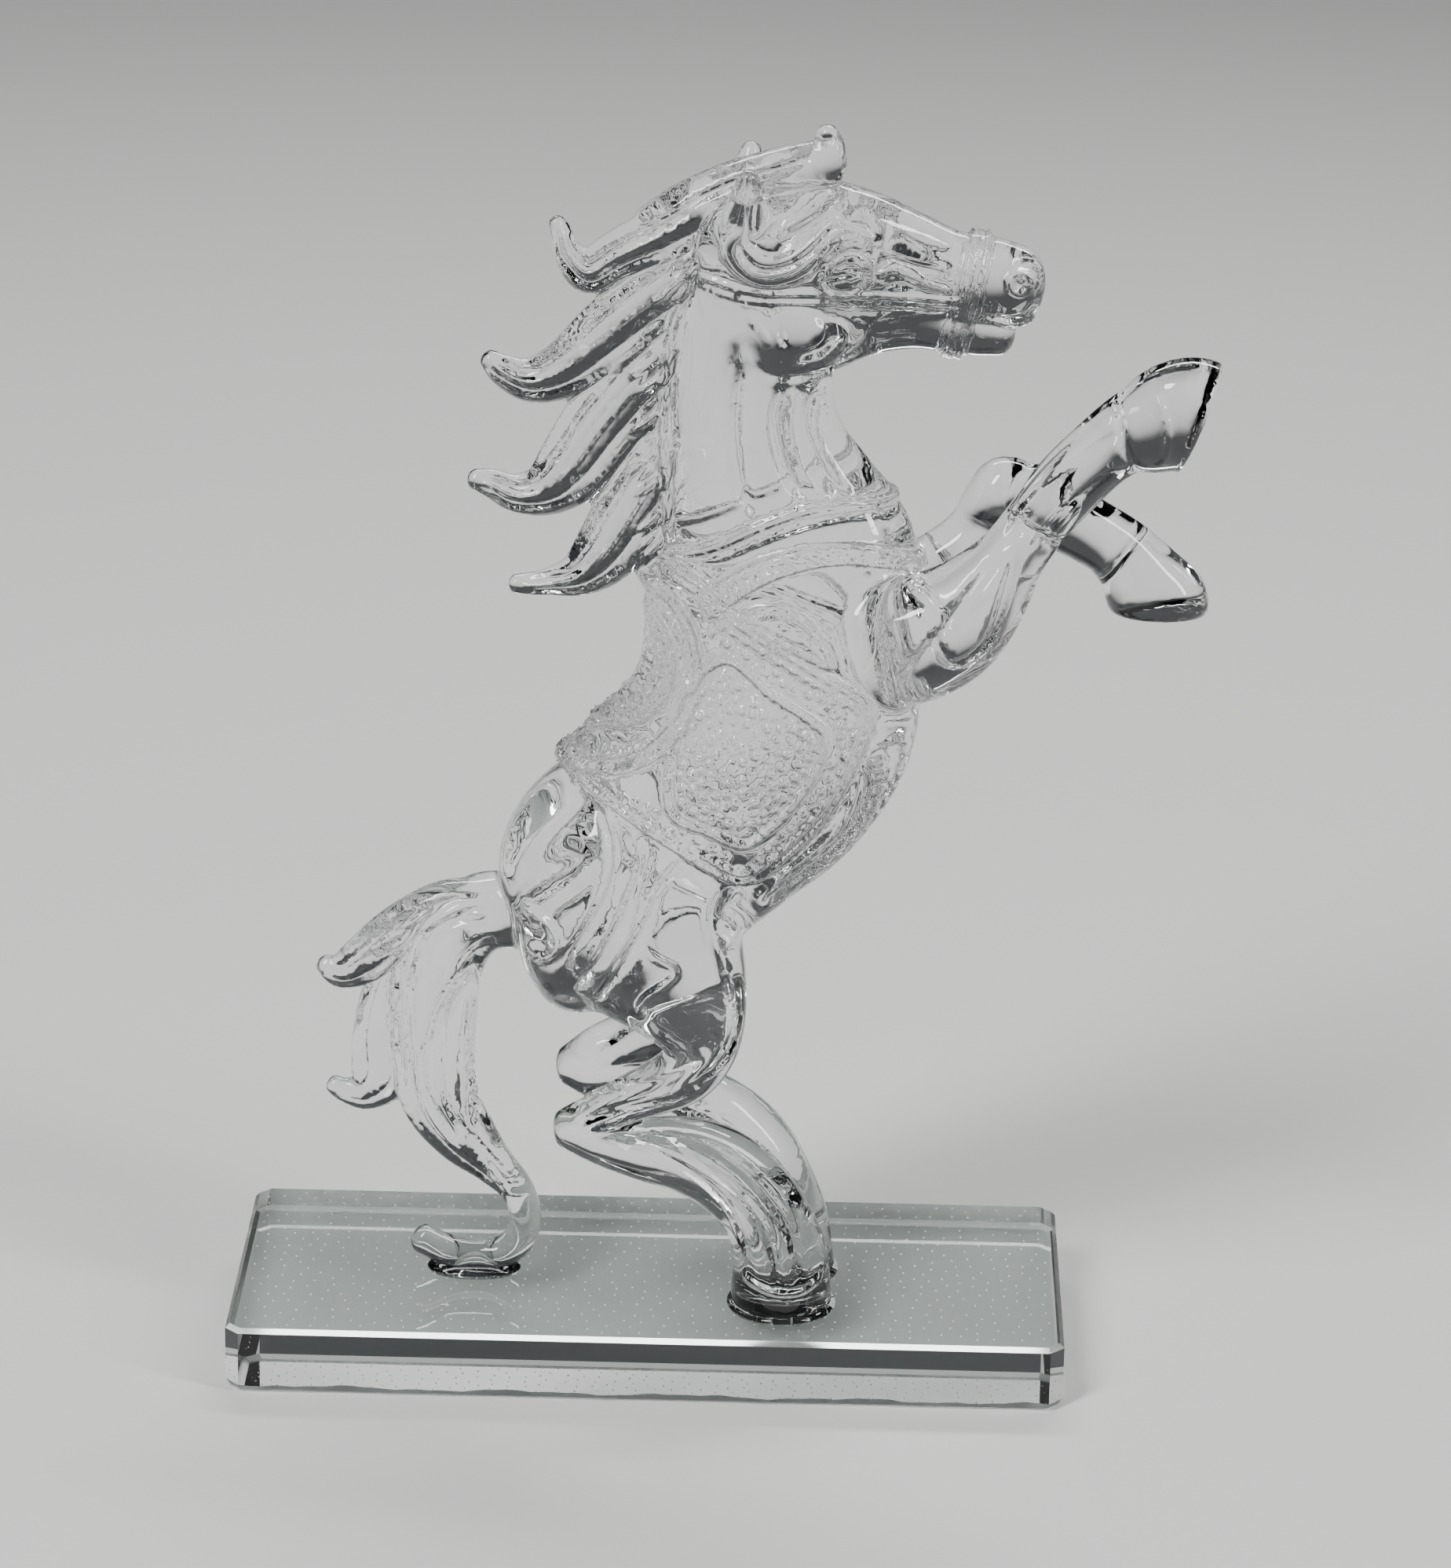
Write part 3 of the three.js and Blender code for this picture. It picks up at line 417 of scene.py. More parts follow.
class SideMap:
    """Heights over the side view (x, z), made with strokes, beads and filled outlines."""

    def __init__(self, pitch):
        self.pitch = pitch
        cells = [int((high - low) / pitch) + 1 for low, high in zip(MAP_LOW, MAP_HIGH)]
        self.heights = np.zeros(cells, np.float32)

    def window(self, low, high):
        """The part of the map from low to high and the coordinates of its cells."""
        first = [max(int((low[i] - MAP_LOW[i]) / self.pitch), 0) for i in range(2)]
        last = [min(int((high[i] - MAP_LOW[i]) / self.pitch) + 2, self.heights.shape[i]) for i in range(2)]
        x, z = (MAP_LOW[i] + self.pitch * np.arange(first[i], last[i]) for i in range(2))
        return (slice(first[0], last[0]), slice(first[1], last[1])), x[:, None], z[None, :]

    def around(self, centre, reach):
        """The window around a centre and the distance of its cells to it."""
        where, x, z = self.window([c - reach for c in centre], [c + reach for c in centre])
        return where, np.hypot(x - centre[0], z - centre[1])

    def near_line(self, line, reach):
        """The window around a line, its cells, their distance to it and the share of its length there."""
        where, x, z = self.window(line.min(0) - reach, line.max(0) + reach)
        nearest = np.full((x.shape[0], z.shape[1]), FAR)
        share = np.zeros_like(nearest)
        lengths = np.hypot(*np.diff(line, axis=0).T)
        start = 0.0
        for (ax, az), (bx, bz), length in zip(line[:-1], line[1:], lengths):
            dx, dz = bx - ax, bz - az
            t = np.clip(((x - ax) * dx + (z - az) * dz) / max(length * length, TINY), 0, 1)
            d = np.hypot(x - ax - t * dx, z - az - t * dz)
            closer = d < nearest
            nearest = np.where(closer, d, nearest)
            share = np.where(closer, (start + t * length) / lengths.sum(), share)
            start += length
        return where, x, z, nearest, share

    def near_outline(self, outline, reach):
        """The window around a closed outline and the distance to it, below zero inside."""
        line = np.vstack([outline, outline[:1]])
        where, x, z, nearest, _ = self.near_line(line, reach)
        inside = np.zeros(nearest.shape, bool)
        for (ax, az), (bx, bz) in zip(line[:-1], line[1:]):
            if az != bz:
                inside ^= ((az > z) != (bz > z)) & (x < (bx - ax) * (z - az) / (bz - az) + ax)
        return where, np.where(inside, -nearest, nearest)

    def add(self, where, heights):
        """Adds heights to a window of the map."""
        self.heights[where] += heights.astype(np.float32)

    def plateau(self, outline, height, edge):
        """Raises what is inside the outline to the height, with a rounded step of the edge's width."""
        where, distance = self.near_outline(outline, 2 * edge)
        share = np.clip(0.5 - distance / edge, 0, 1)
        self.heights[where] = np.maximum(self.heights[where], height * share * share * (3 - 2 * share))

    def stroke(self, points, width, height, taper=LINE_TAPER, steps=6):
        """Adds a rounded ridge, or a groove where the height is below zero, that fades at both ends."""
        where, _, _, distance, share = self.near_line(catmull(points, steps), RIDGE_REACH * width)
        fade = np.clip(np.minimum(share, 1 - share) / taper, 0, 1)
        fade *= 2 - fade
        self.add(where, height * fade * ridge(distance, width))

    def rim(self, outline, inset, width, height):
        """Adds a ridge that runs inside an outline, at the inset from it."""
        where, distance = self.near_outline(outline, RIDGE_REACH * width + inset)
        self.add(where, height * ridge(distance + inset, width))

    def bead(self, centre, radius, height):
        """Adds a round bead, or a pit where the height is below zero, with a shallow moat around it."""
        where, distance = self.around(centre, radius * BEAD_REACH)
        share = distance / radius
        dome = height * np.sqrt(np.clip(1 - share ** 2, 0, 1))
        self.add(where, dome - MOAT_DEPTH * height * np.exp(-((share - MOAT_PLACE) / MOAT_WIDTH) ** 2))

    def ring(self, centre, radius, width, height):
        """Adds a round ridge about a centre."""
        where, distance = self.around(centre, radius + RIDGE_REACH * width)
        self.add(where, height * ridge(distance - radius, width))

    def ribs(self, rows, depth):
        """Adds rows of short ridges across a line, evenly spaced along it."""
        for count, half_length, width, height, lean, points in rows:
            line = catmull(points, 8)
            lengths = np.concatenate([[0], np.cumsum(np.hypot(*np.diff(line, axis=0).T))])
            for at in (np.arange(count) + 0.5) / count * lengths[-1]:
                places = np.stack([np.interp(at + RIB_STEPS, lengths, side) for side in line.T], 1)
                here, ahead, behind = places
                along = (ahead - behind) / np.linalg.norm(ahead - behind)
                reach = (np.array([-along[1], along[0]]) + lean * along) * half_length
                self.stroke([here - reach, here + reach], width, height * depth, FOLD_TAPER, 1)

    def lines(self, rows, depth, taper):
        """Adds a stroke for each row of half width, height and points."""
        for width, height, points in rows:
            self.stroke(points, width, height * depth, taper)

    def sample(self, x, z):
        """Heights at points of the side view, with their slopes along x and along z."""
        i = np.clip((x - MAP_LOW[0]) / self.pitch, 0, self.heights.shape[0] - LAST_CELL)
        k = np.clip((z - MAP_LOW[1]) / self.pitch, 0, self.heights.shape[1] - LAST_CELL)
        i0, k0 = i.astype(int), k.astype(int)
        u, v = i - i0, k - k0
        h = self.heights
        a, b, c, d = h[i0, k0], h[i0 + 1, k0], h[i0, k0 + 1], h[i0 + 1, k0 + 1]
        height = (a * (1 - u) + b * u) * (1 - v) + (c * (1 - u) + d * u) * v
        along_x = ((b - a) * (1 - v) + (d - c) * v) / self.pitch
        along_z = ((c - a) * (1 - u) + (d - b) * u) / self.pitch
        return height, along_x, along_z


class Loft:
    """A free form with elliptic sections along a curved centre line."""

    def __init__(self, stations, blend, steps=5, flat_end=False):
        self.rows = catmull(stations, steps)
        self.pieces = list(zip(self.rows[:-1], self.rows[1:]))
        self.blend = blend
        self.flat_end = flat_end

    def finish(self, distance, x, y, z):
        """Cuts the end off square where the form has a flat end, as a raised hoof has."""
        if not self.flat_end:
            return distance
        end = self.rows[-1, :3]
        axis = end - self.rows[-2, :3]
        axis /= np.linalg.norm(axis)
        beyond = (x - end[0]) * axis[0] + (y - end[1]) * axis[1] + (z - end[2]) * axis[2]
        return smooth_max(distance, beyond, SOLE_ROUNDING)


def both_sides(stations, blend, steps=5):
    """A form and its mirror image on the other flank."""
    mirrored = [(x, -y, z, deep, wide) for x, y, z, deep, wide in stations]
    return [Loft(stations, blend, steps), Loft(mirrored, blend, steps)]


def piece_distance(piece, x, y, z):
    """The distance of points to one straight piece of a form, below zero inside."""
    a, b = piece
    length = np.linalg.norm(b[:3] - a[:3])
    axis = (b[:3] - a[:3]) / length
    across = np.array([0.0, 1.0, 0.0]) - axis[1] * axis
    across /= np.linalg.norm(across)
    in_plane = np.cross(across, axis)
    px, py, pz = x - a[0], y - a[1], z - a[2]
    along = px * axis[0] + py * axis[1] + pz * axis[2]
    share = np.clip(along / length, 0, 1)
    deep = a[3] + (b[3] - a[3]) * share
    wide = a[4] + (b[4] - a[4]) * share
    cap = ROUND_END * np.minimum(deep, wide)
    u = (px * in_plane[0] + py * in_plane[1] + pz * in_plane[2]) / deep
    v = (px * across[0] + py * across[1] + pz * across[2]) / wide
    w = (along - share * length) / cap
    reach = np.sqrt(u * u + v * v + w * w)
    slope = np.sqrt((u / deep) ** 2 + (v / wide) ** 2 + (w / cap) ** 2)
    return np.where(slope > TINY, reach * (reach - 1) / np.maximum(slope, TINY), -np.minimum(deep, wide))


def piece_box(piece):
    """The corners of the room around one piece in which its distance matters."""
    a, b = piece
    reach = max(a[3], a[4], b[3], b[4]) + MARGIN
    return np.minimum(a[:3], b[:3]) - reach, np.maximum(a[:3], b[:3]) + reach


def within(points, low, high):
    """The numbers of the points that lie in a box."""
    return np.flatnonzero(((points > low) & (points < high)).all(1))


class Group:
    """Forms that share one relief: a lift that goes all round them and a carving on both flanks."""

    def __init__(self, join, pitch, *lofts):
        self.lofts = lofts
        self.join = join
        self.lift = SideMap(pitch)
        self.flank = SideMap(pitch)

    def at(self, points):
        """The distance of single points to the group before its relief."""
        total = np.full(len(points), FAR)
        for loft in self.lofts:
            boxes = [piece_box(piece) for piece in loft.pieces]
            around = within(points, np.min([box[0] for box in boxes], axis=0),
                            np.max([box[1] for box in boxes], axis=0))
            local = points[around]
            nearest = np.full(len(local), FAR)
            for piece, box in zip(loft.pieces, boxes):
                near = within(local, *box)
                if len(near):
                    nearest[near] = np.minimum(nearest[near], piece_distance(piece, *local[near].T))
            total[around] = smooth_min(total[around], loft.finish(nearest, *local.T), loft.blend)
        return total

    def on_grid(self, x, y, z):
        """The distance of the group on a grid, with its lift but without its carving."""
        total = np.full((x.size, y.size, z.size), FAR, np.float32)
        for loft in self.lofts:
            nearest = np.full(total.shape, FAR, np.float32)
            for piece in loft.pieces:
                low, high = piece_box(piece)
                cut = tuple(slice(*np.searchsorted(axis.ravel(), (low[i], high[i])))
                            for i, axis in enumerate((x, y, z)))
                if all(part.stop > part.start for part in cut):
                    value = piece_distance(piece, x[cut[0]], y[:, cut[1]], z[:, :, cut[2]])
                    nearest[cut] = np.minimum(nearest[cut], value)
            total = smooth_min(total, loft.finish(nearest, x, y, z), loft.blend)
        lift, along_x, along_z = self.lift.sample(x + 0 * z, z + 0 * x)
        return (total - lift) / np.sqrt(1 + along_x ** 2 + along_z ** 2)


class Figure:
    """The whole horse as groups of forms joined with fillets and stood on its soles."""

    def __init__(self, *groups):
        self.groups = groups

    def on_grid(self, x, y, z):
        """The distance of the figure on a grid, without its carving."""
        total = np.full((x.size, y.size, z.size), FAR, np.float32)
        for group in self.groups:
            total = smooth_min(total, group.on_grid(x, y, z), group.join)
        return smooth_max(total, DRAWN_SOLES - z, SOLE_EDGE)

    def at(self, points, normals):
        """The distance of points on or near the surface whose outward directions are known."""
        total = np.full(len(points), FAR)
        x, y, z = points.T
        facing = np.clip(np.abs(normals[:, 1]) / CARVING_FACING, 0, 1)
        facing = facing * np.clip(MIDDLE_FADE + np.sign(normals[:, 1]) * y, 0, 1)
        for group in self.groups:
            lift, lift_x, lift_z = group.lift.sample(x, z)
            carved, carved_x, carved_z = group.flank.sample(x, z)
            value = group.at(points) - lift - carved * facing
            value /= np.sqrt(1 + (lift_x + carved_x * facing) ** 2 + (lift_z + carved_z * facing) ** 2)
            total = smooth_min(total, value, group.join)
        return smooth_max(total, DRAWN_SOLES - z, SOLE_EDGE)


def join_diagonals(values):
    """Fills the corners between cells that touch along one edge only, so that the surface never pinches."""
    for _ in range(DIAGONAL_ROUNDS):
        found = False
        for first, second in ((0, 1), (1, 2), (0, 2)):
            views = []
            for i, k in ((0, 0), (1, 0), (1, 1), (0, 1)):
                cut = [slice(None)] * 3
                cut[first] = slice(i, values.shape[first] - 1 + i)
                cut[second] = slice(k, values.shape[second] - 1 + k)
                views.append(values[tuple(cut)])
            a, b, c, d = [view < 0 for view in views]
            pinched = ((a & c) & ~(b | d)) | ((b & d) & ~(a | c))
            found = found or pinched.any()
            for view in views:
                view[pinched] = np.minimum(view[pinched], -DIAGONAL_FILL)
        if not found:
            break
    return values


def surface_nets(values, axes):
    """The vertices and triangles of the zero surface of a grid of distances."""
    inside = values < 0
    shape = np.array(values.shape) - 1
    corners = [(i, j, k) for i in (0, 1) for j in (0, 1) for k in (0, 1)]
    views = [inside[tuple(slice(c[i], shape[i] + c[i]) for i in range(3))] for c in corners]
    count = sum(view.astype(np.int8) for view in views)
    cells = np.argwhere((count > 0) & (count < len(corners)))
    number = np.full(shape, -1, np.int32)
    number[tuple(cells.T)] = np.arange(len(cells))
    at_corner = {c: values[tuple((cells + c).T)].astype(float) for c in corners}
    place = np.zeros((len(cells), 3))
    crossings = np.zeros(len(cells))
    for c in corners:
        for axis in np.flatnonzero(np.array(c) == 0):
            ahead = np.arange(3) == axis
            a, b = at_corner[c], at_corner[tuple(int(i) for i in c + ahead)]
            crossed = (a < 0) != (b < 0)
            share = a / np.where(crossed, a - b, 1)
            place += np.where(crossed[:, None], c + share[:, None] * ahead, 0)
            crossings += crossed
    place = place / crossings[:, None] + cells
    points = np.array([a[0] for a in axes]) + place * np.array([a[1] - a[0] for a in axes])

    quads = []
    for axis in range(3):
        u, v = (axis + 1) % 3, (axis + 2) % 3
        first = [slice(0, shape[i] + 1) for i in range(3)]
        first[axis] = slice(0, shape[axis])
        second = list(first)
        second[axis] = slice(1, shape[axis] + 1)
        edges = np.argwhere(inside[tuple(first)] != inside[tuple(second)])
        inner = (edges[:, [u, v]] > 0) & (edges[:, [u, v]] < shape[[u, v]])
        edges = edges[inner.all(1)]
        ring = []
        for du, dv in ((0, 0), (1, 0), (1, 1), (0, 1)):
            cell = edges.copy()
            cell[:, u] -= du
            cell[:, v] -= dv
            ring.append(number[tuple(cell.T)])
        ring = np.stack(ring, 1)
        solid_first = inside[tuple(edges.T)]
        ring[~solid_first] = ring[~solid_first][:, ::-1]
        quads.append(ring)
    quads = np.vstack(quads)
    flat = points[quads]
    short = np.linalg.norm(flat[:, 0] - flat[:, 2], axis=1) <= np.linalg.norm(flat[:, 1] - flat[:, 3], axis=1)
    triangles = [quads[short][:, [0, 1, 2]], quads[short][:, [0, 2, 3]],
                 quads[~short][:, [0, 1, 3]], quads[~short][:, [1, 2, 3]]]
    return points, np.vstack(triangles)


def face_normals(points, triangles):
    """Outward directions of the triangles, as long as twice their area."""
    corners = points[triangles]
    return np.cross(corners[:, 1] - corners[:, 0], corners[:, 2] - corners[:, 0])


def vertex_normals(points, triangles):
    """Outward directions at the vertices, from the triangles around each."""
    faces = face_normals(points, triangles)
    return unit(np.stack([sum(np.bincount(triangles[:, c], faces[:, i], len(points)) for c in range(3))
                          for i in range(3)], 1))


def edge_table(triangles):
    """The edges of a mesh, once each, and for each triangle the numbers of its three edges."""
    pairs = np.sort(np.vstack([triangles[:, [0, 1]], triangles[:, [1, 2]], triangles[:, [2, 0]]]), axis=1)
    edges, number = np.unique(pairs, axis=0, return_inverse=True)
    return edges, number.reshape(3, -1).T


def neighbour_middles(points, edges):
    """The middle of the neighbours of each vertex."""
    count = np.bincount(edges.ravel(), minlength=len(points))
    total = np.stack([np.bincount(edges[:, 0], points[edges[:, 1], i], len(points))
                      + np.bincount(edges[:, 1], points[edges[:, 0], i], len(points)) for i in range(3)], 1)
    return total / np.maximum(count, 1)[:, None]


def relax(points, triangles, share):
    """Moves each vertex part of the way to the middle of its neighbours, along the surface."""
    move = (neighbour_middles(points, edge_table(triangles)[0]) - points) * share
    normals = vertex_normals(points, triangles)
    move -= normals * (move * normals).sum(1, keepdims=True)
    return points + move


def calm(points, triangles):
    """Draws folded vertices back to the middle of their neighbours, until no triangle turns away."""
    edges, _ = edge_table(triangles)
    for _ in range(CALM_ROUNDS):
        faces = unit(face_normals(points, triangles))
        normals = vertex_normals(points, triangles)
        folded = np.zeros(len(points), bool)
        for corner in range(3):
            away = (faces * normals[triangles[:, corner]]).sum(1) < FOLD
            folded[triangles[away].ravel()] = True
        if not folded.any():
            break
        points[folded] = neighbour_middles(points, edges)[folded]
    return points


def settle(figure, points, triangles, first=0):
    """Brings the vertices, from the first one given, onto the surface of the figure."""
    normals = vertex_normals(points, triangles)[first:]
    distance = figure.at(points[first:], normals)
    points[first:] -= normals * np.clip(distance, -LONGEST_MOVE, LONGEST_MOVE)[:, None]
    return calm(points, triangles)


def split_edges(points, triangles, edges, number, marked):
    """Splits the marked edges in two, and the triangles on them in two or four."""
    partly = marked[number].sum(1) == 2
    while partly.any():
        marked[number[partly].ravel()] = True
        partly = marked[number].sum(1) == 2
    middle = np.full(len(edges), -1)
    middle[marked] = len(points) + np.arange(marked.sum())
    added = (points[edges[marked, 0]] + points[edges[marked, 1]]) / 2
    middle = middle[number]
    split = middle >= 0
    kinds = split.sum(1)
    a, b, c = triangles[kinds == 3].T
    p, q, r = middle[kinds == 3].T
    result = [(a, p, r), (p, b, q), (r, q, c), (p, q, r)]
    for turn in range(3):
        one = (kinds == 1) & split[:, turn]
        a, b, c = np.roll(triangles[one], -turn, axis=1).T
        p = middle[one, turn]
        result += [(a, p, c), (p, b, c)]
    return np.vstack([points, added]), np.vstack([triangles[kinds == 0], *[np.stack(t, 1) for t in result]])


def refine(figure, points, triangles, settings):
    """Splits the edges that lie farthest from the surface, and settles the new vertices on it."""
    edges, number = edge_table(triangles)
    ends = points[edges]
    length = np.linalg.norm(ends[:, 0] - ends[:, 1], axis=1)
    long_enough = np.flatnonzero(length > 2 * settings.finest_edge)
    facing = unit(vertex_normals(points, triangles)[edges[long_enough]].mean(1))
    gap = np.abs(figure.at(ends[long_enough].mean(1), facing))
    room = max((settings.most_triangles - len(triangles)) // TRIANGLES_PER_SPLIT, 0)
    marked = np.zeros(len(edges), bool)
    marked[long_enough[np.argsort(-gap)][:min(room, int((gap > settings.tolerance).sum()))]] = True
    first_new = len(points)
    points, triangles = split_edges(points, triangles, edges, number, marked)
    for _ in range(FITTING_ROUNDS):
        points = settle(figure, points, triangles, first_new)
    points = relax(points, triangles, FINE_SMOOTHING)
    return settle(figure, points, triangles), triangles


def glass_surface(figure, settings):
    """The vertices and triangles of the figure, closed and finest where its relief is."""
    step = settings.grid_step
    lows = (*GRID_LOW, DRAWN_SOLES - STEPS_BELOW * step)
    axes = [np.arange(low, high, step) for low, high in zip(lows, GRID_HIGH)]
    grid = figure.on_grid(axes[0][:, None, None], axes[1][None, :, None], axes[2][None, None, :])
    points, triangles = surface_nets(join_diagonals(grid), axes)
    points = settle(figure, points, triangles)
    for _ in range(FITTING_ROUNDS):
        points = settle(figure, relax(points, triangles, SMOOTHING), triangles)
    for _ in range(SPLIT_ROUNDS):
        points, triangles = refine(figure, points, triangles, settings)
    points = settle(figure, points, triangles)
    points[:, 2] = np.maximum(points[:, 2], DRAWN_SOLES)
    if len(triangles) >= TRIANGLE_LIMIT:
        raise RuntimeError(f"the horse has {len(triangles)} triangles")
    if np.any(np.bincount(edge_table(triangles)[1].ravel()) != 2):
        raise RuntimeError("the horse is not closed")
    return points, triangles


def colour(code):
    """Red, green and blue in linear values from an sRGB hex code."""
    parts = [int(code[i:i + 2], 16) / 255 for i in (0, 2, 4)]
    return tuple(p / 12.92 if p <= 0.04045 else ((p + 0.055) / 1.055) ** 2.4 for p in parts)


def add_node(tree, kind, place=(0, 0), inputs=(), **settings):
    """Adds a node with its settings, and its inputs as values or as sockets to link from."""
    node = tree.nodes.new(kind)
    node.location = place
    for name, value in settings.items():
        setattr(node, name, value)
    for socket, value in dict(inputs).items():
        if isinstance(value, bpy.types.NodeSocket):
            tree.links.new(value, node.inputs[socket])
        else:
            node.inputs[socket].default_value = value
    return node


def new_material(name, tint, roughness, ior=1.45, transmission=0.0):
    """A material whose whole finish is its tint, its roughness, its index and how much light goes through."""
    material = bpy.data.materials.new(name)
    material.use_nodes = True
    tree = material.node_tree
    tree.nodes.clear()
    shader = add_node(tree, "ShaderNodeBsdfPrincipled", inputs={
        "Base Color": (*tint, 1.0), "Roughness": roughness, "IOR": ior, "Transmission Weight": transmission})
    add_node(tree, "ShaderNodeOutputMaterial", (300, 0), {"Surface": shader.outputs["BSDF"]})
    return material


def mesh_object(name, points, faces, materials, smooth=True):
    """A finished piece at the origin from points in metres."""
    mesh = bpy.data.meshes.new(name)
    mesh.from_pydata([tuple(p) for p in points], [], [tuple(int(i) for i in f) for f in faces])
    mesh.update()
    for material in materials:
        mesh.materials.append(material)
    mesh.polygons.foreach_set("use_smooth", [smooth] * len(mesh.polygons))
    piece = bpy.data.objects.new(name, mesh)
    bpy.context.scene.collection.objects.link(piece)
    return piece


def figure_frame():
    """The scale and the offset from drawn millimetres to metres of the frame."""
    low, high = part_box("horse")
    scale = (high.z - low.z) / (DRAWN_TOP - DRAWN_SOLES)
    return scale, np.array([0.0, -FIGURE_SETBACK, low.z - DRAWN_SOLES * scale])


def tube_faces(rows, sides):
    """Faces that join rings of points into a closed tube, then its lower and its upper end."""
    faces = []
    for start in range(0, (rows - 1) * sides, sides):
        for i in range(sides):
            a, b = start + i, start + (i + 1) % sides
            faces.append((a, b, b + sides, a + sides))
    return [*faces, tuple(reversed(range(sides))), tuple(range((rows - 1) * sides, rows * sides))]


def scatter_balls(name, points, faces, spacing, radius, seed, material=None):
    """A plain mesh of small balls over flat faces, made by a Geometry Nodes scatter with a fixed seed."""
    values = {"Spacing": spacing, "Radius": radius, "Smallest share": SMALLEST_BALL,
              "Density": BALLS_TRIED / (spacing * spacing), "Seed": seed}
    tree = bpy.data.node_groups.new(name, "GeometryNodeTree")
    for way in ("INPUT", "OUTPUT"):
        tree.interface.new_socket("Geometry", in_out=way, socket_type="NodeSocketGeometry")
    identifiers = {}
    for label in values:
        kind = "NodeSocketInt" if label == "Seed" else "NodeSocketFloat"
        identifiers[label] = tree.interface.new_socket(label, in_out="INPUT", socket_type=kind).identifier
    given = add_node(tree, "NodeGroupInput").outputs
    scatter = add_node(tree, "GeometryNodeDistributePointsOnFaces", (200, 0), {
        "Mesh": given["Geometry"], "Distance Min": given["Spacing"], "Density Max": given["Density"],
        "Seed": given["Seed"]}, distribute_method="POISSON")
    ball = add_node(tree, "GeometryNodeMeshIcoSphere", (200, -300), {
        "Radius": given["Radius"], "Subdivisions": 1})
    share = add_node(tree, "FunctionNodeRandomValue", (200, -500), {"Seed": given["Seed"]}, data_type="FLOAT")
    smallest, largest = [socket for socket in share.inputs if socket.type == "VALUE" and socket.enabled][:2]
    tree.links.new(given["Smallest share"], smallest)
    largest.default_value = 1.0
    size = [socket for socket in share.outputs if socket.type == "VALUE"][0]
    placed = add_node(tree, "GeometryNodeInstanceOnPoints", (450, 0), {
        "Points": scatter.outputs["Points"], "Instance": ball.outputs["Mesh"], "Scale": size})
    real = add_node(tree, "GeometryNodeRealizeInstances", (650, 0), {"Geometry": placed.outputs["Instances"]})
    paint = add_node(tree, "GeometryNodeSetMaterial", (850, 0), {
        "Geometry": real.outputs["Geometry"], "Material": material})
    add_node(tree, "NodeGroupOutput", (1050, 0), {"Geometry": paint.outputs["Geometry"]})
    ground = mesh_object(name + "_ground", points, faces, [])
    scattering = ground.modifiers.new(name, "NODES")
    scattering.node_group = tree
    for label, value in values.items():
        scattering[identifiers[label]] = value
    balls = bpy.data.meshes.new_from_object(ground.evaluated_get(bpy.context.evaluated_depsgraph_get()))
    bpy.data.objects.remove(ground)
    return balls


def bead_layout(name, outlines, spacing, radius, seed):
    """Places beads over outlines of the side view, and returns (x, z) and the radius of each."""
    points, faces = [], []
    for outline in outlines:
        faces.append(list(range(len(points), len(points) + len(outline))))
        points += [(x, 0, z) for x, z in outline]
    balls = scatter_balls(name, points, faces, spacing, radius, seed)
    corners = np.array([v.co for v in balls.vertices]).reshape(-1, BALL_CORNERS, 3)
    centres = corners.mean(1)
    sizes = np.linalg.norm(corners[:, 0] - centres, axis=1)
    bpy.data.meshes.remove(balls)
    return [((c[0], c[2]), size) for c, size in zip(centres, sizes)]


def carve_trappings(group, depth):
    """Saddle, cloth, collar and straps: steps all round the body, with their ornament on the flanks."""
    cloth, panel, skirt, seat, loop = [rounded(outline) for outline in (
        SADDLE_CLOTH, CLOTH_PANEL, SADDLE_SKIRT, SADDLE_SEAT, SHOULDER_LOOP)]
    collar, cord, hip = [strap_outline(*strap) for strap in (BREAST_COLLAR, NECK_CORD, HIP_STRAP)]
    # Each step's outline, its height above the coat and the width of its rounded edge.
    for step in ((cloth, 0.9, 1.0), (panel, 1.5, 1.1), (skirt, 2.3, 1.5), (seat, 3.3, 1.5),
                 (collar, 1.3, 0.7), (cord, 0.7, 0.8), (hip, 0.5, 1.6), (loop, 1.4, 1.4)):
        group.lift.plateau(*step)
    # Each rim's outline, its inset, its half width and its height, or its depth below zero.
    for outline, inset, width, height in (
            (cloth, 0.6, 0.55, 0.8), (cloth, 2.1, 0.45, 0.6), (panel, 0.6, 0.7, 0.9),
            (panel, 1.9, 0.45, -0.6), (skirt, 0.8, 0.65, 0.9), (skirt, 2.2, 0.55, -0.95),
            (seat, 0.7, 0.6, 0.8), (seat, 2.0, 0.55, -0.95), (loop, 0.7, 0.45, 0.5)):
        group.flank.rim(outline, inset, width, height * depth)
    group.flank.ribs(BELLY_RIBS, depth)
    group.flank.lines(BODY_FOLDS, depth, FOLD_TAPER)
    group.flank.stroke(CREST, 0.8, 0.8 * depth)
    group.flank.rim(collar, 0.4, 0.35, 0.4 * depth)
    beads = bead_layout("Panel beads", [inset_outline(CLOTH_PANEL, PANEL_MARGIN)], *PANEL_BEADS)
    beads += bead_layout("Border beads", BORDER_BANDS, *BORDER_BEADS)
    beads += bead_layout("Collar beads", [strap_outline(*COLLAR_FIELD)], *COLLAR_BEADS)
    for centre, radius in beads:
        group.flank.bead(centre, radius, BEAD_HEIGHT * radius * depth)
    group.flank.ribs(SADDLE_RIBS, depth)
    for centre, radius, width, bead in ROSETTES:
        group.flank.ring(centre, radius, width, 0.6 * depth)
        group.flank.bead(centre, bead, 0.5 * depth)


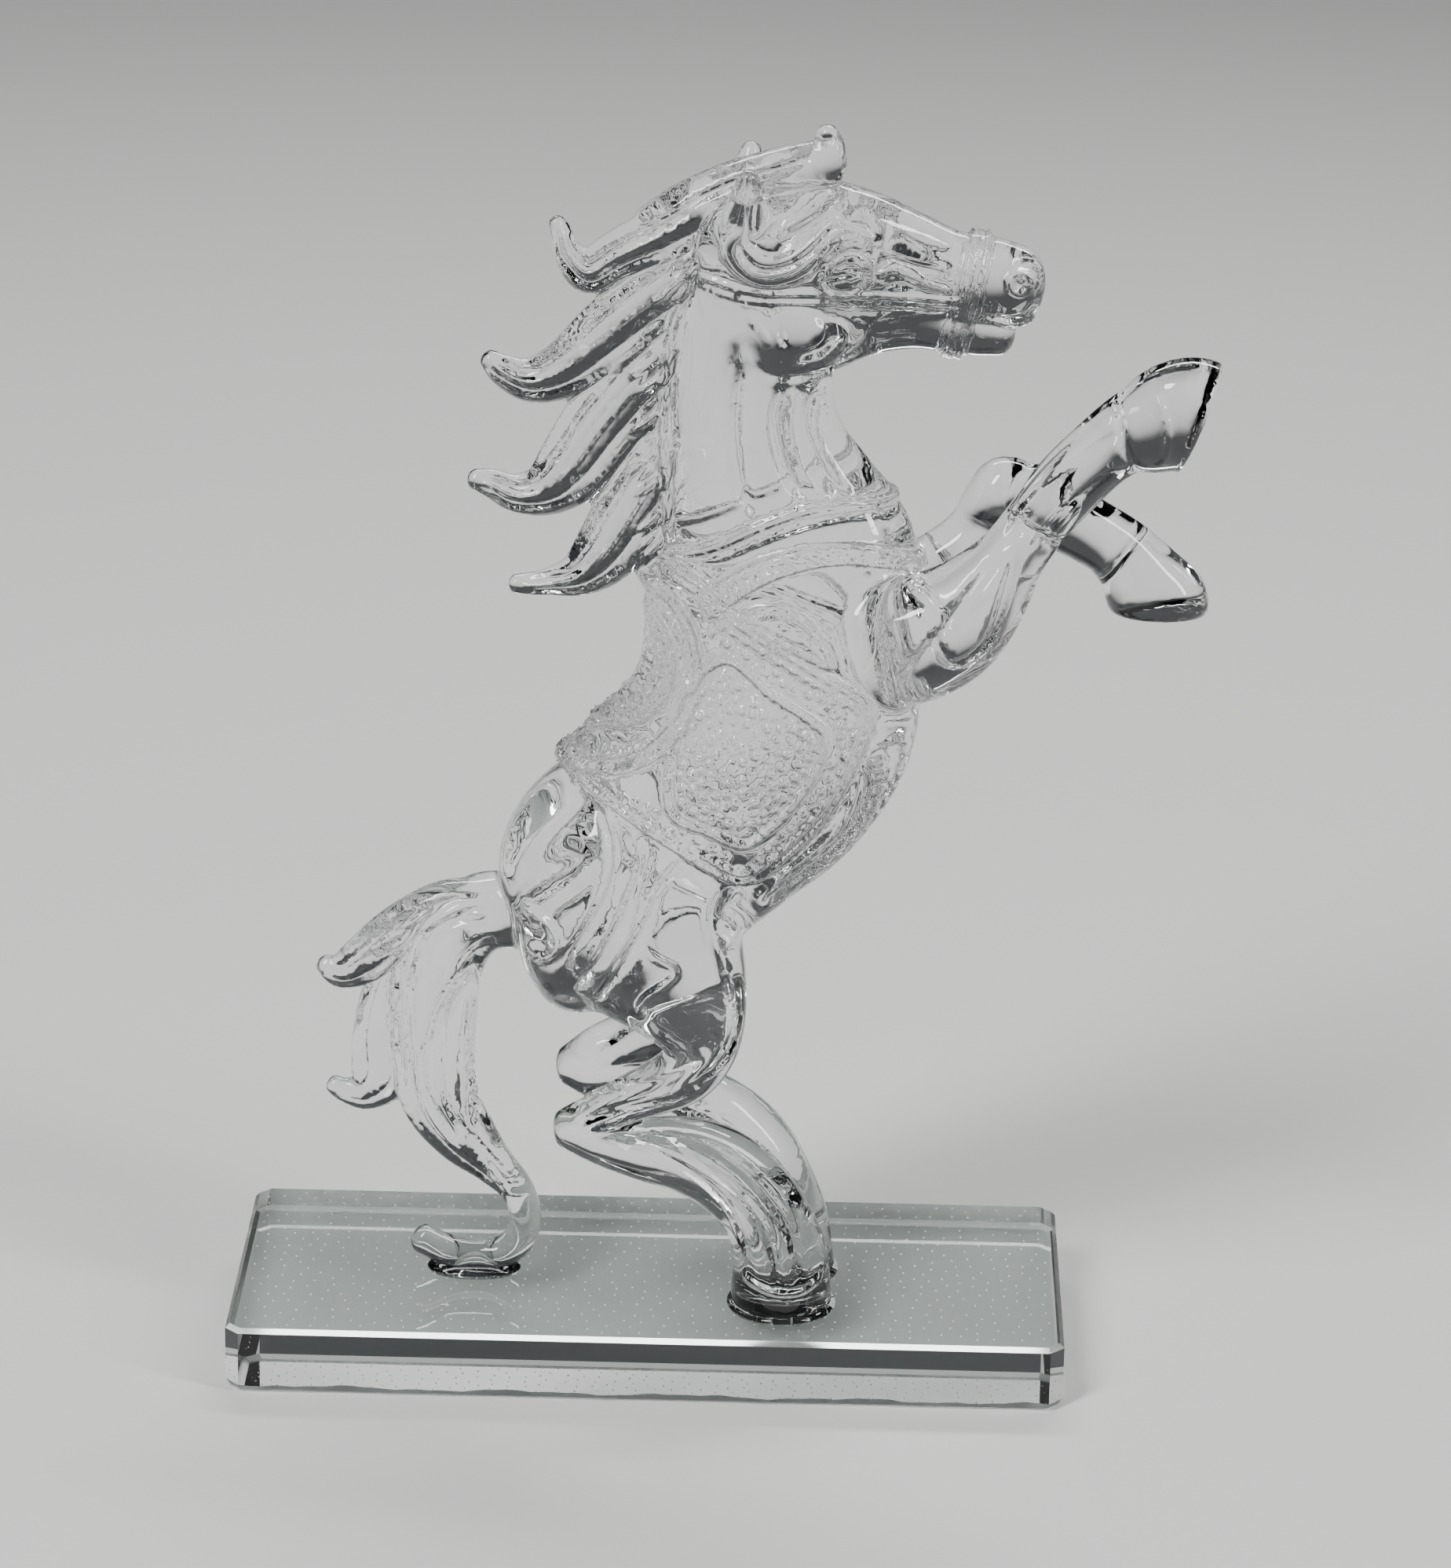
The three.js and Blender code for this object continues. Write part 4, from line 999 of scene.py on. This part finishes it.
def carve_head(group, depth):
    """Bridle straps, brow folds, eyelids, cheek, nostril and mouth."""
    group.lift.plateau(strap_outline(*NOSEBAND), 0.7, 0.7)
    group.lift.plateau(strap_outline(*CHEEK_STRAP), 0.5, 0.7)
    flank = group.flank
    # The cords on each strap, by their shift from its middle.
    for strap, width, shifts in ((CHEEK_STRAP, 0.4, ((0, -1.0), (0, 0.9))),
                                 (NOSEBAND, 0.42, ((-1.5, 0), (0, 0), (1.5, 0)))):
        for shift in shifts:
            flank.stroke(np.add(strap[0], shift), width, 0.5 * depth)
    flank.lines(EYE_LINES, depth, LINE_TAPER)
    # Brow folds, each higher and longer than the last.
    for lift in (0.0, 1.5, 3.0):
        brow = [(27.2 - 0.3 * lift, 205 + lift), (29.2, 207.6 + lift), (32, 209 + 0.8 * lift),
                (34.4 + 0.4 * lift, 208.4 + 0.5 * lift)]
        flank.stroke(brow, 0.5, 0.7 * depth)
    flank.lines(HEAD_FOLDS, depth, FOLD_TAPER)
    flank.ring(NOSTRIL_CENTRE, 1.9, 0.6, 0.7 * depth)
    flank.bead(NOSTRIL_CENTRE, 0.9, -0.6 * depth)
    flank.lines(MOUTH_LINES, depth, LINE_TAPER)


def carve_flutes(flank, lock, width, flutes, depth):
    """Carves flutes along a lock of hair, each at a share of its half thickness and with its height."""
    stations = np.array(lock)
    line = stations[:, [0, 2]]
    half = across_line(line) * stations[:, 3:4]
    for share, height in flutes:
        flank.stroke(line + half * share, width, height * depth)


def carve_hair(group, depth):
    """Flutes along each lock and the short strands along the crest."""
    flank = group.flank
    for lock in MANE_LOCKS:
        carve_flutes(flank, lock, 0.62, ((-0.5, -0.55), (-0.12, 0.4), (0.3, -0.5), (0.66, 0.35)), depth)
    for lock in (*TAIL_PLUMES[:2], TAIL[1:10]):
        carve_flutes(flank, lock, 0.7, ((-0.45, -0.5), (0.35, -0.5)), depth)
    flank.lines(HAIR_FOLDS, depth, FOLD_TAPER)
    flank.bead(FORELOCK_DIMPLE, 1.1, -0.6 * depth)
    flank.stroke(CREST, 0.8, 0.8 * depth)
    # Strands that fall backwards from the crest, raised and cut in by turns.
    for i, start in enumerate(catmull(CREST, 4)[1:-1]):
        reach = np.array([-4.4 - 1.4 * (i % 2), -6.2 + 1.2 * (i % 3)])
        strand = [start + (-0.8, -0.4), start + 0.5 * reach + (0.9, 0.5), start + reach]
        flank.stroke(strand, 0.42, (0.6 if i % 2 else -0.6) * depth, 0.3)


def horse_figure(settings):
    """The horse's forms in four carved groups. A group starts with its fillet to the other groups."""
    pitch, depth = settings.map_pitch, settings.carving_depth
    # Each form has its stations, its fillet to the forms before it, and the steps of its curve.
    body = Group(0.8, pitch, Loft(TRUNK, 1.0, 8), Loft(RIGHT_THIGH, 2.5, 8), Loft(LEFT_THIGH, 2.5, 8),
                 *both_sides(BUTTOCK, 2.0, 8))
    limbs = Group(1.2, pitch, Loft(RIGHT_FORELEG, 1.0, 8, True), Loft(LEFT_FORELEG, 0.8, 8, True),
                  Loft(RIGHT_CANNON, 1.0, 6), Loft(LEFT_CANNON, 1.0, 6))
    head = Group(1.4, pitch, Loft(SKULL, 1.0, 8), Loft(LOWER_JAW, 1.4, 6), *both_sides(CHEEK, 0.8),
                 *both_sides(EYE, 0.4), *both_sides(NOSTRIL, 0.8), *both_sides(JOWL_LOCK, 0.5),
                 *both_sides(EAR, 0.6))
    hair = Group(0.8, pitch, *[Loft(lock, 0.7, 6) for lock in MANE_LOCKS], Loft(MANE_ROOT, 0.6),
                 Loft(FORELOCK, 0.8), Loft(TAIL, 1.0, 6), *[Loft(plume, 0.8) for plume in TAIL_PLUMES])
    carve_trappings(body, depth)
    carve_head(head, depth)
    carve_hair(hair, depth)
    limbs.flank.lines(LIMB_FOLDS, depth, FOLD_TAPER)
    return Figure(body, limbs, head, hair)


def slab_ring(corners, spans, z, wave, wave_length):
    """The points round the slab at one height, with the front edge uneven by the wave."""
    points = []
    for (ax, ay), (bx, by), count in zip(corners, corners[1:] + corners[:1], spans):
        for i in range(count):
            x, y = ax + (bx - ax) * i / count, ay + (by - ay) * i / count
            # Three sines of different lengths, so that the cut doesn't repeat along the edge.
            turn = x / wave_length * 2 * math.pi
            ripple = math.sin(turn) + 0.6 * math.sin(2.3 * turn + 1.1) + 0.4 * math.sin(5.1 * turn + 0.4)
            points.append((x, y, z + wave * ripple if i and y < 0 else z))
    return points


def adhesive_bead(station, settings):
    """A flat round bead under a foot, with a bulging rim, let a little into the slab and the foot."""
    scale, offset = figure_frame()
    deep, wide = (half * scale + settings.spread - settings.bulge for half in station[3:5])
    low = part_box("slab")[1].z
    high = low + settings.thickness
    # Each ring has its share of the bulge and its height.
    rim = [(math.sin(math.pi * row / BEAD_ROWS), low + (high - low) * row / BEAD_ROWS)
           for row in range(1, BEAD_ROWS)]
    rings = [(0.0, low - settings.overlap), (0.0, low), *rim, (-0.6, high), (-2.0, high + settings.overlap)]
    points = []
    for bulge, z in rings:
        for side in range(BEAD_SIDES):
            angle = 2 * math.pi * side / BEAD_SIDES
            reach = bulge * settings.bulge
            points.append((station[0] * scale + offset[0] + (deep + reach) * math.cos(angle),
                           station[1] * scale + offset[1] + (wide + reach) * math.sin(angle), z))
    return points, tube_faces(len(rings), BEAD_SIDES)


class CrystalHorseSettings(bpy.types.PropertyGroup):
    """Values of the glass horse, with its lengths in the millimetres that it is drawn in."""
    grid_step: FloatProperty(name="Grid step", description="Spacing of the first grid", default=1.1, min=0.4)
    finest_edge: FloatProperty(
        name="Finest edge", description="Shortest half of an edge that is still split", default=0.34, min=0.1)
    tolerance: FloatProperty(
        name="Tolerance", description="Largest gap between an edge and the form", default=0.035, min=0.005)
    map_pitch: FloatProperty(name="Map pitch", description="Cell of the relief maps", default=0.14, min=0.05)
    carving_depth: FloatProperty(
        name="Carving depth", description="Depth of the flank relief against its drawn depth", default=1.35,
        min=0.0, subtype="FACTOR")
    most_triangles: IntProperty(
        name="Most triangles", description="Where the splitting of edges stops", default=192000, min=1000)
    tint: FloatVectorProperty(
        name="Tint", description="Colour of the crystal glass", default=colour("FBFCFC"), subtype="COLOR")
    index: FloatProperty(name="Index", description="Index of refraction of the crystal", default=1.5, min=1.0)
    roughness: FloatProperty(
        name="Roughness", description="Roughness of the fire-polished skin", default=0.0, min=0.0, max=1.0,
        subtype="FACTOR")


class CrystalSlabSettings(bpy.types.PropertyGroup):
    """Values of the slab and the lint on it."""
    chamfer: FloatProperty(
        name="Chamfer", description="Width of the ground edge", default=0.0008, unit="LENGTH", min=0.0)
    corner_cut: FloatProperty(
        name="Corner cut", description="Length cut off each corner", default=0.0025, unit="LENGTH", min=0.0)
    wave: FloatProperty(
        name="Wave", description="Unevenness of the lower front edge", default=0.00022, unit="LENGTH")
    wave_length: FloatProperty(
        name="Wave length", description="Length of one wave of that edge", default=0.031, unit="LENGTH",
        min=0.001)
    index: FloatProperty(name="Index", description="Index of refraction of the plate", default=1.52, min=1.0)
    tint: FloatVectorProperty(
        name="Tint", description="Colour of the plate", default=colour("F6FBF9"), subtype="COLOR")
    edge_tint: FloatVectorProperty(
        name="Edge tint", description="Colour of the ground edges", default=colour("EAF2EF"), subtype="COLOR")
    lint_spacing: FloatProperty(
        name="Lint spacing", description="Smallest distance between specks", default=0.0026, unit="LENGTH",
        min=0.0005)
    lint_size: FloatProperty(
        name="Lint size", description="Radius of the largest specks", default=0.00019, unit="LENGTH", min=0.0)


class CrystalAdhesiveSettings(bpy.types.PropertyGroup):
    """Values of the adhesive beads."""
    thickness: FloatProperty(
        name="Thickness", description="Height of a bead above the slab", default=0.00125, unit="LENGTH",
        min=0.0)
    spread: FloatProperty(
        name="Spread", description="How far a bead stands out past its foot", default=0.00075, unit="LENGTH",
        min=0.0)
    bulge: FloatProperty(
        name="Bulge", description="How far the middle of the rim stands out", default=0.0004, unit="LENGTH",
        min=0.0)
    overlap: FloatProperty(
        name="Overlap", description="Depth to which a bead wets the glass above and below", default=0.0002,
        unit="LENGTH", min=0.0)
    tint: FloatVectorProperty(
        name="Tint", description="Colour of the adhesive", default=colour("FAFBFA"), subtype="COLOR")


class CrystalStageSettings(bpy.types.PropertyGroup):
    """Values of the floor and the camera."""
    azimuth: FloatProperty(
        name="Azimuth", description="Turn of the camera from the front", default=math.radians(0.911),
        subtype="ANGLE")
    elevation: FloatProperty(
        name="Elevation", description="Height angle of the camera", default=math.radians(20), subtype="ANGLE")
    roll: FloatProperty(
        name="Roll", description="Turn of the camera about its line of sight", default=math.radians(1.017),
        subtype="ANGLE")
    distance: FloatProperty(
        name="Distance", description="From the camera to its target", default=1.05655, unit="LENGTH")
    focal_share: FloatProperty(
        name="Focal share", description="Focal length against the picture's height", default=7575.1 / 1997)
    target: FloatVectorProperty(
        name="Target", description="Point that the camera looks at", default=(0.012285, 0.0, 0.106204),
        unit="LENGTH")
    floor_size: FloatProperty(
        name="Floor size", description="Side of the square floor", default=5.0, unit="LENGTH")
    floor_gap: FloatProperty(
        name="Floor gap", description="Air under the slab, so that light reaches the floor", default=0.0004,
        unit="LENGTH")
    floor_tint: FloatVectorProperty(
        name="Floor tint", description="Colour of the floor", default=colour("C9C9C7"), subtype="COLOR")


class CRYSTAL_OT_horse(bpy.types.Operator):
    """Build the finished surface of the glass horse"""
    bl_idname = "crystal.horse"
    bl_label = "Build horse"

    def execute(self, context):
        settings = context.scene.crystal_horse
        points, triangles = glass_surface(horse_figure(settings), settings)
        scale, offset = figure_frame()
        # Crystal glass, worked hot and fire-polished: clear to the core, seen by bent edges and highlights.
        crystal = new_material("crystal_glass", settings.tint, settings.roughness, settings.index, 1.0)
        horse = mesh_object("horse_glass", points * scale + offset, triangles, [crystal])
        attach(horse, "root")
        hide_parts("horse")
        return {"FINISHED"}


class CRYSTAL_OT_slab(bpy.types.Operator):
    """Build the slab with its ground edges and the lint on it"""
    bl_idname = "crystal.slab"
    bl_label = "Build slab"

    def execute(self, context):
        settings = context.scene.crystal_slab
        low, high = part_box("slab")
        chamfer = settings.chamfer
        points = []
        for inset, z, wave in ((chamfer, low.z, 0), (0, low.z + LOWER_CHAMFER * chamfer, settings.wave),
                               (0, high.z - chamfer, 0), (chamfer, high.z, 0)):
            x, y = (high.x - low.x) / 2 - inset, (high.y - low.y) / 2 - inset
            cut = settings.corner_cut - inset * (2 - math.sqrt(2))
            corners = [(x - cut, -y), (x, -y + cut), (x, y - cut), (x - cut, y),
                       (-x + cut, y), (-x, y - cut), (-x, -y + cut), (-x + cut, -y)]
            points += slab_ring(corners, SLAB_SPANS, z, wave, settings.wave_length)
        # Float glass: flat, polished and faintly green. The grinding wheel leaves its edges matt and paler.
        polished = new_material("float_glass", settings.tint, 0.0, settings.index, 1.0)
        ground = new_material("ground_edge", settings.edge_tint, GROUND_ROUGHNESS, settings.index, 1.0)
        sides = sum(SLAB_SPANS)
        slab = mesh_object("slab_glass", points, tube_faces(4, sides), [polished, ground], smooth=False)
        slab.data.polygons.foreach_set("material_index", [1] * sides + [0] * sides + [1] * sides + [0, 0])
        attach(slab, "root")
        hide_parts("slab")
        # Cotton lint: matt pale specks, drawn as small balls because the fibres are too fine to show.
        lint = new_material("lint", colour("F2F2EE"), MATT)
        edge = LINT_MARGIN * chamfer
        top = [(x, y, high.z) for x, y in ((low.x + edge, low.y + edge), (high.x - edge, low.y + edge),
                                           (high.x - edge, high.y - edge), (low.x + edge, high.y - edge))]
        specks = scatter_balls(
            "Lint", top, [(0, 1, 2, 3)], settings.lint_spacing, settings.lint_size, LINT_SEED, lint)
        dust = bpy.data.objects.new("slab_lint", specks)
        context.scene.collection.objects.link(dust)
        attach(dust, "root")
        return {"FINISHED"}


class CRYSTAL_OT_adhesive(bpy.types.Operator):
    """Build the beads of clear adhesive under the hooves and the tail"""
    bl_idname = "crystal.adhesive"
    bl_label = "Build adhesive beads"

    def execute(self, context):
        settings = context.scene.crystal_adhesive
        # Clear cured adhesive: it wets the glass above and below, so that only its rim shows.
        material = new_material("clear_adhesive", settings.tint, 0.0, ADHESIVE_INDEX, 1.0)
        for node, stations in (("hoof_adhesive", (RIGHT_CANNON[-1], LEFT_CANNON[-1])),
                               ("tail_adhesive", (TAIL_FOOT,))):
            points, faces = [], []
            for station in stations:
                bead_points, bead_faces = adhesive_bead(station, settings)
                faces += [tuple(i + len(points) for i in face) for face in bead_faces]
                points += bead_points
            piece = mesh_object(node + "_clear", points, faces, [material])
            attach(piece, "root")
            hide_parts(node)
        return {"FINISHED"}


class CRYSTAL_OT_stage(bpy.types.Operator):
    """Set up the floor, the lights and the camera"""
    bl_idname = "crystal.stage"
    bl_label = "Build stage"

    def execute(self, context):
        settings = context.scene.crystal_stage
        half, gap = settings.floor_size / 2, settings.floor_gap
        corners = [(-half, -half, -gap), (half, -half, -gap), (half, half, -gap), (-half, half, -gap)]
        # Background paper: matt, pale and even.
        paper = new_material("floor_paper", settings.floor_tint, MATT)
        mesh_object("floor", corners, [(0, 1, 2, 3)], [paper], smooth=False)
        world = bpy.data.worlds.new("studio")
        world.use_nodes = True
        background = world.node_tree.nodes["Background"].inputs
        background["Color"].default_value = (*colour("8C9096"), 1.0)
        background["Strength"].default_value = WORLD_STRENGTH
        context.scene.world = world
        for name, place, size, power in LIGHTS:
            data = bpy.data.lights.new(name, "AREA")
            data.shape = "RECTANGLE"
            data.size, data.size_y = size
            data.energy = power
            light = bpy.data.objects.new(name, data)
            light.location = place
            light.rotation_euler = (Vector(LIT_POINT) - Vector(place)).to_track_quat("-Z", "Y").to_euler()
            context.scene.collection.objects.link(light)
        around, above, roll = settings.azimuth, settings.elevation, settings.roll
        level = math.cos(above)
        back = Vector((math.sin(around) * level, -math.cos(around) * level, math.sin(above)))
        right = (-back).cross(Vector((0, 0, 1))).normalized()
        up = right.cross(-back)
        right, up = right * math.cos(roll) + up * math.sin(roll), up * math.cos(roll) - right * math.sin(roll)
        data = bpy.data.cameras.new("camera")
        data.sensor_fit = "VERTICAL"
        data.sensor_height = SENSOR_HEIGHT
        data.lens = SENSOR_HEIGHT * settings.focal_share
        data.clip_start, data.clip_end = CLIP
        camera = bpy.data.objects.new("camera", data)
        place = Vector(settings.target) + back * settings.distance
        camera.matrix_world = Matrix.Translation(place) @ Matrix((right, up, back)).transposed().to_4x4()
        context.scene.collection.objects.link(camera)
        context.scene.camera = camera
        return {"FINISHED"}


class CRYSTAL_PT_panel(bpy.types.Panel):
    """Buttons and values of the crystal horse"""
    bl_label = "Crystal horse"
    bl_idname = "CRYSTAL_PT_panel"
    bl_space_type = "VIEW_3D"
    bl_region_type = "UI"
    bl_category = "Crystal horse"

    def draw(self, context):
        for name, kind in SETTINGS:
            for value in kind.__annotations__:
                self.layout.prop(getattr(context.scene, name), value)
            self.layout.operator(name.replace("_", ".", 1))


SETTINGS = (("crystal_horse", CrystalHorseSettings), ("crystal_slab", CrystalSlabSettings),
            ("crystal_adhesive", CrystalAdhesiveSettings), ("crystal_stage", CrystalStageSettings))
CLASSES = (CRYSTAL_OT_horse, CRYSTAL_OT_slab, CRYSTAL_OT_adhesive, CRYSTAL_OT_stage, CRYSTAL_PT_panel)


def register():
    """Makes the settings, the operators and the panel known."""
    for name, kind in SETTINGS:
        bpy.utils.register_class(kind)
        setattr(bpy.types.Scene, name, PointerProperty(type=kind))
    for kind in CLASSES:
        bpy.utils.register_class(kind)


def unregister():
    """Takes them away again."""
    for kind in reversed(CLASSES):
        bpy.utils.unregister_class(kind)
    for name, kind in reversed(SETTINGS):
        delattr(bpy.types.Scene, name)
        bpy.utils.unregister_class(kind)


def main():
    """Builds the pieces and the stage."""
    register()
    bpy.ops.crystal.horse()
    bpy.ops.crystal.slab()
    bpy.ops.crystal.adhesive()
    bpy.ops.crystal.stage()


if __name__ == "__main__":
    main()
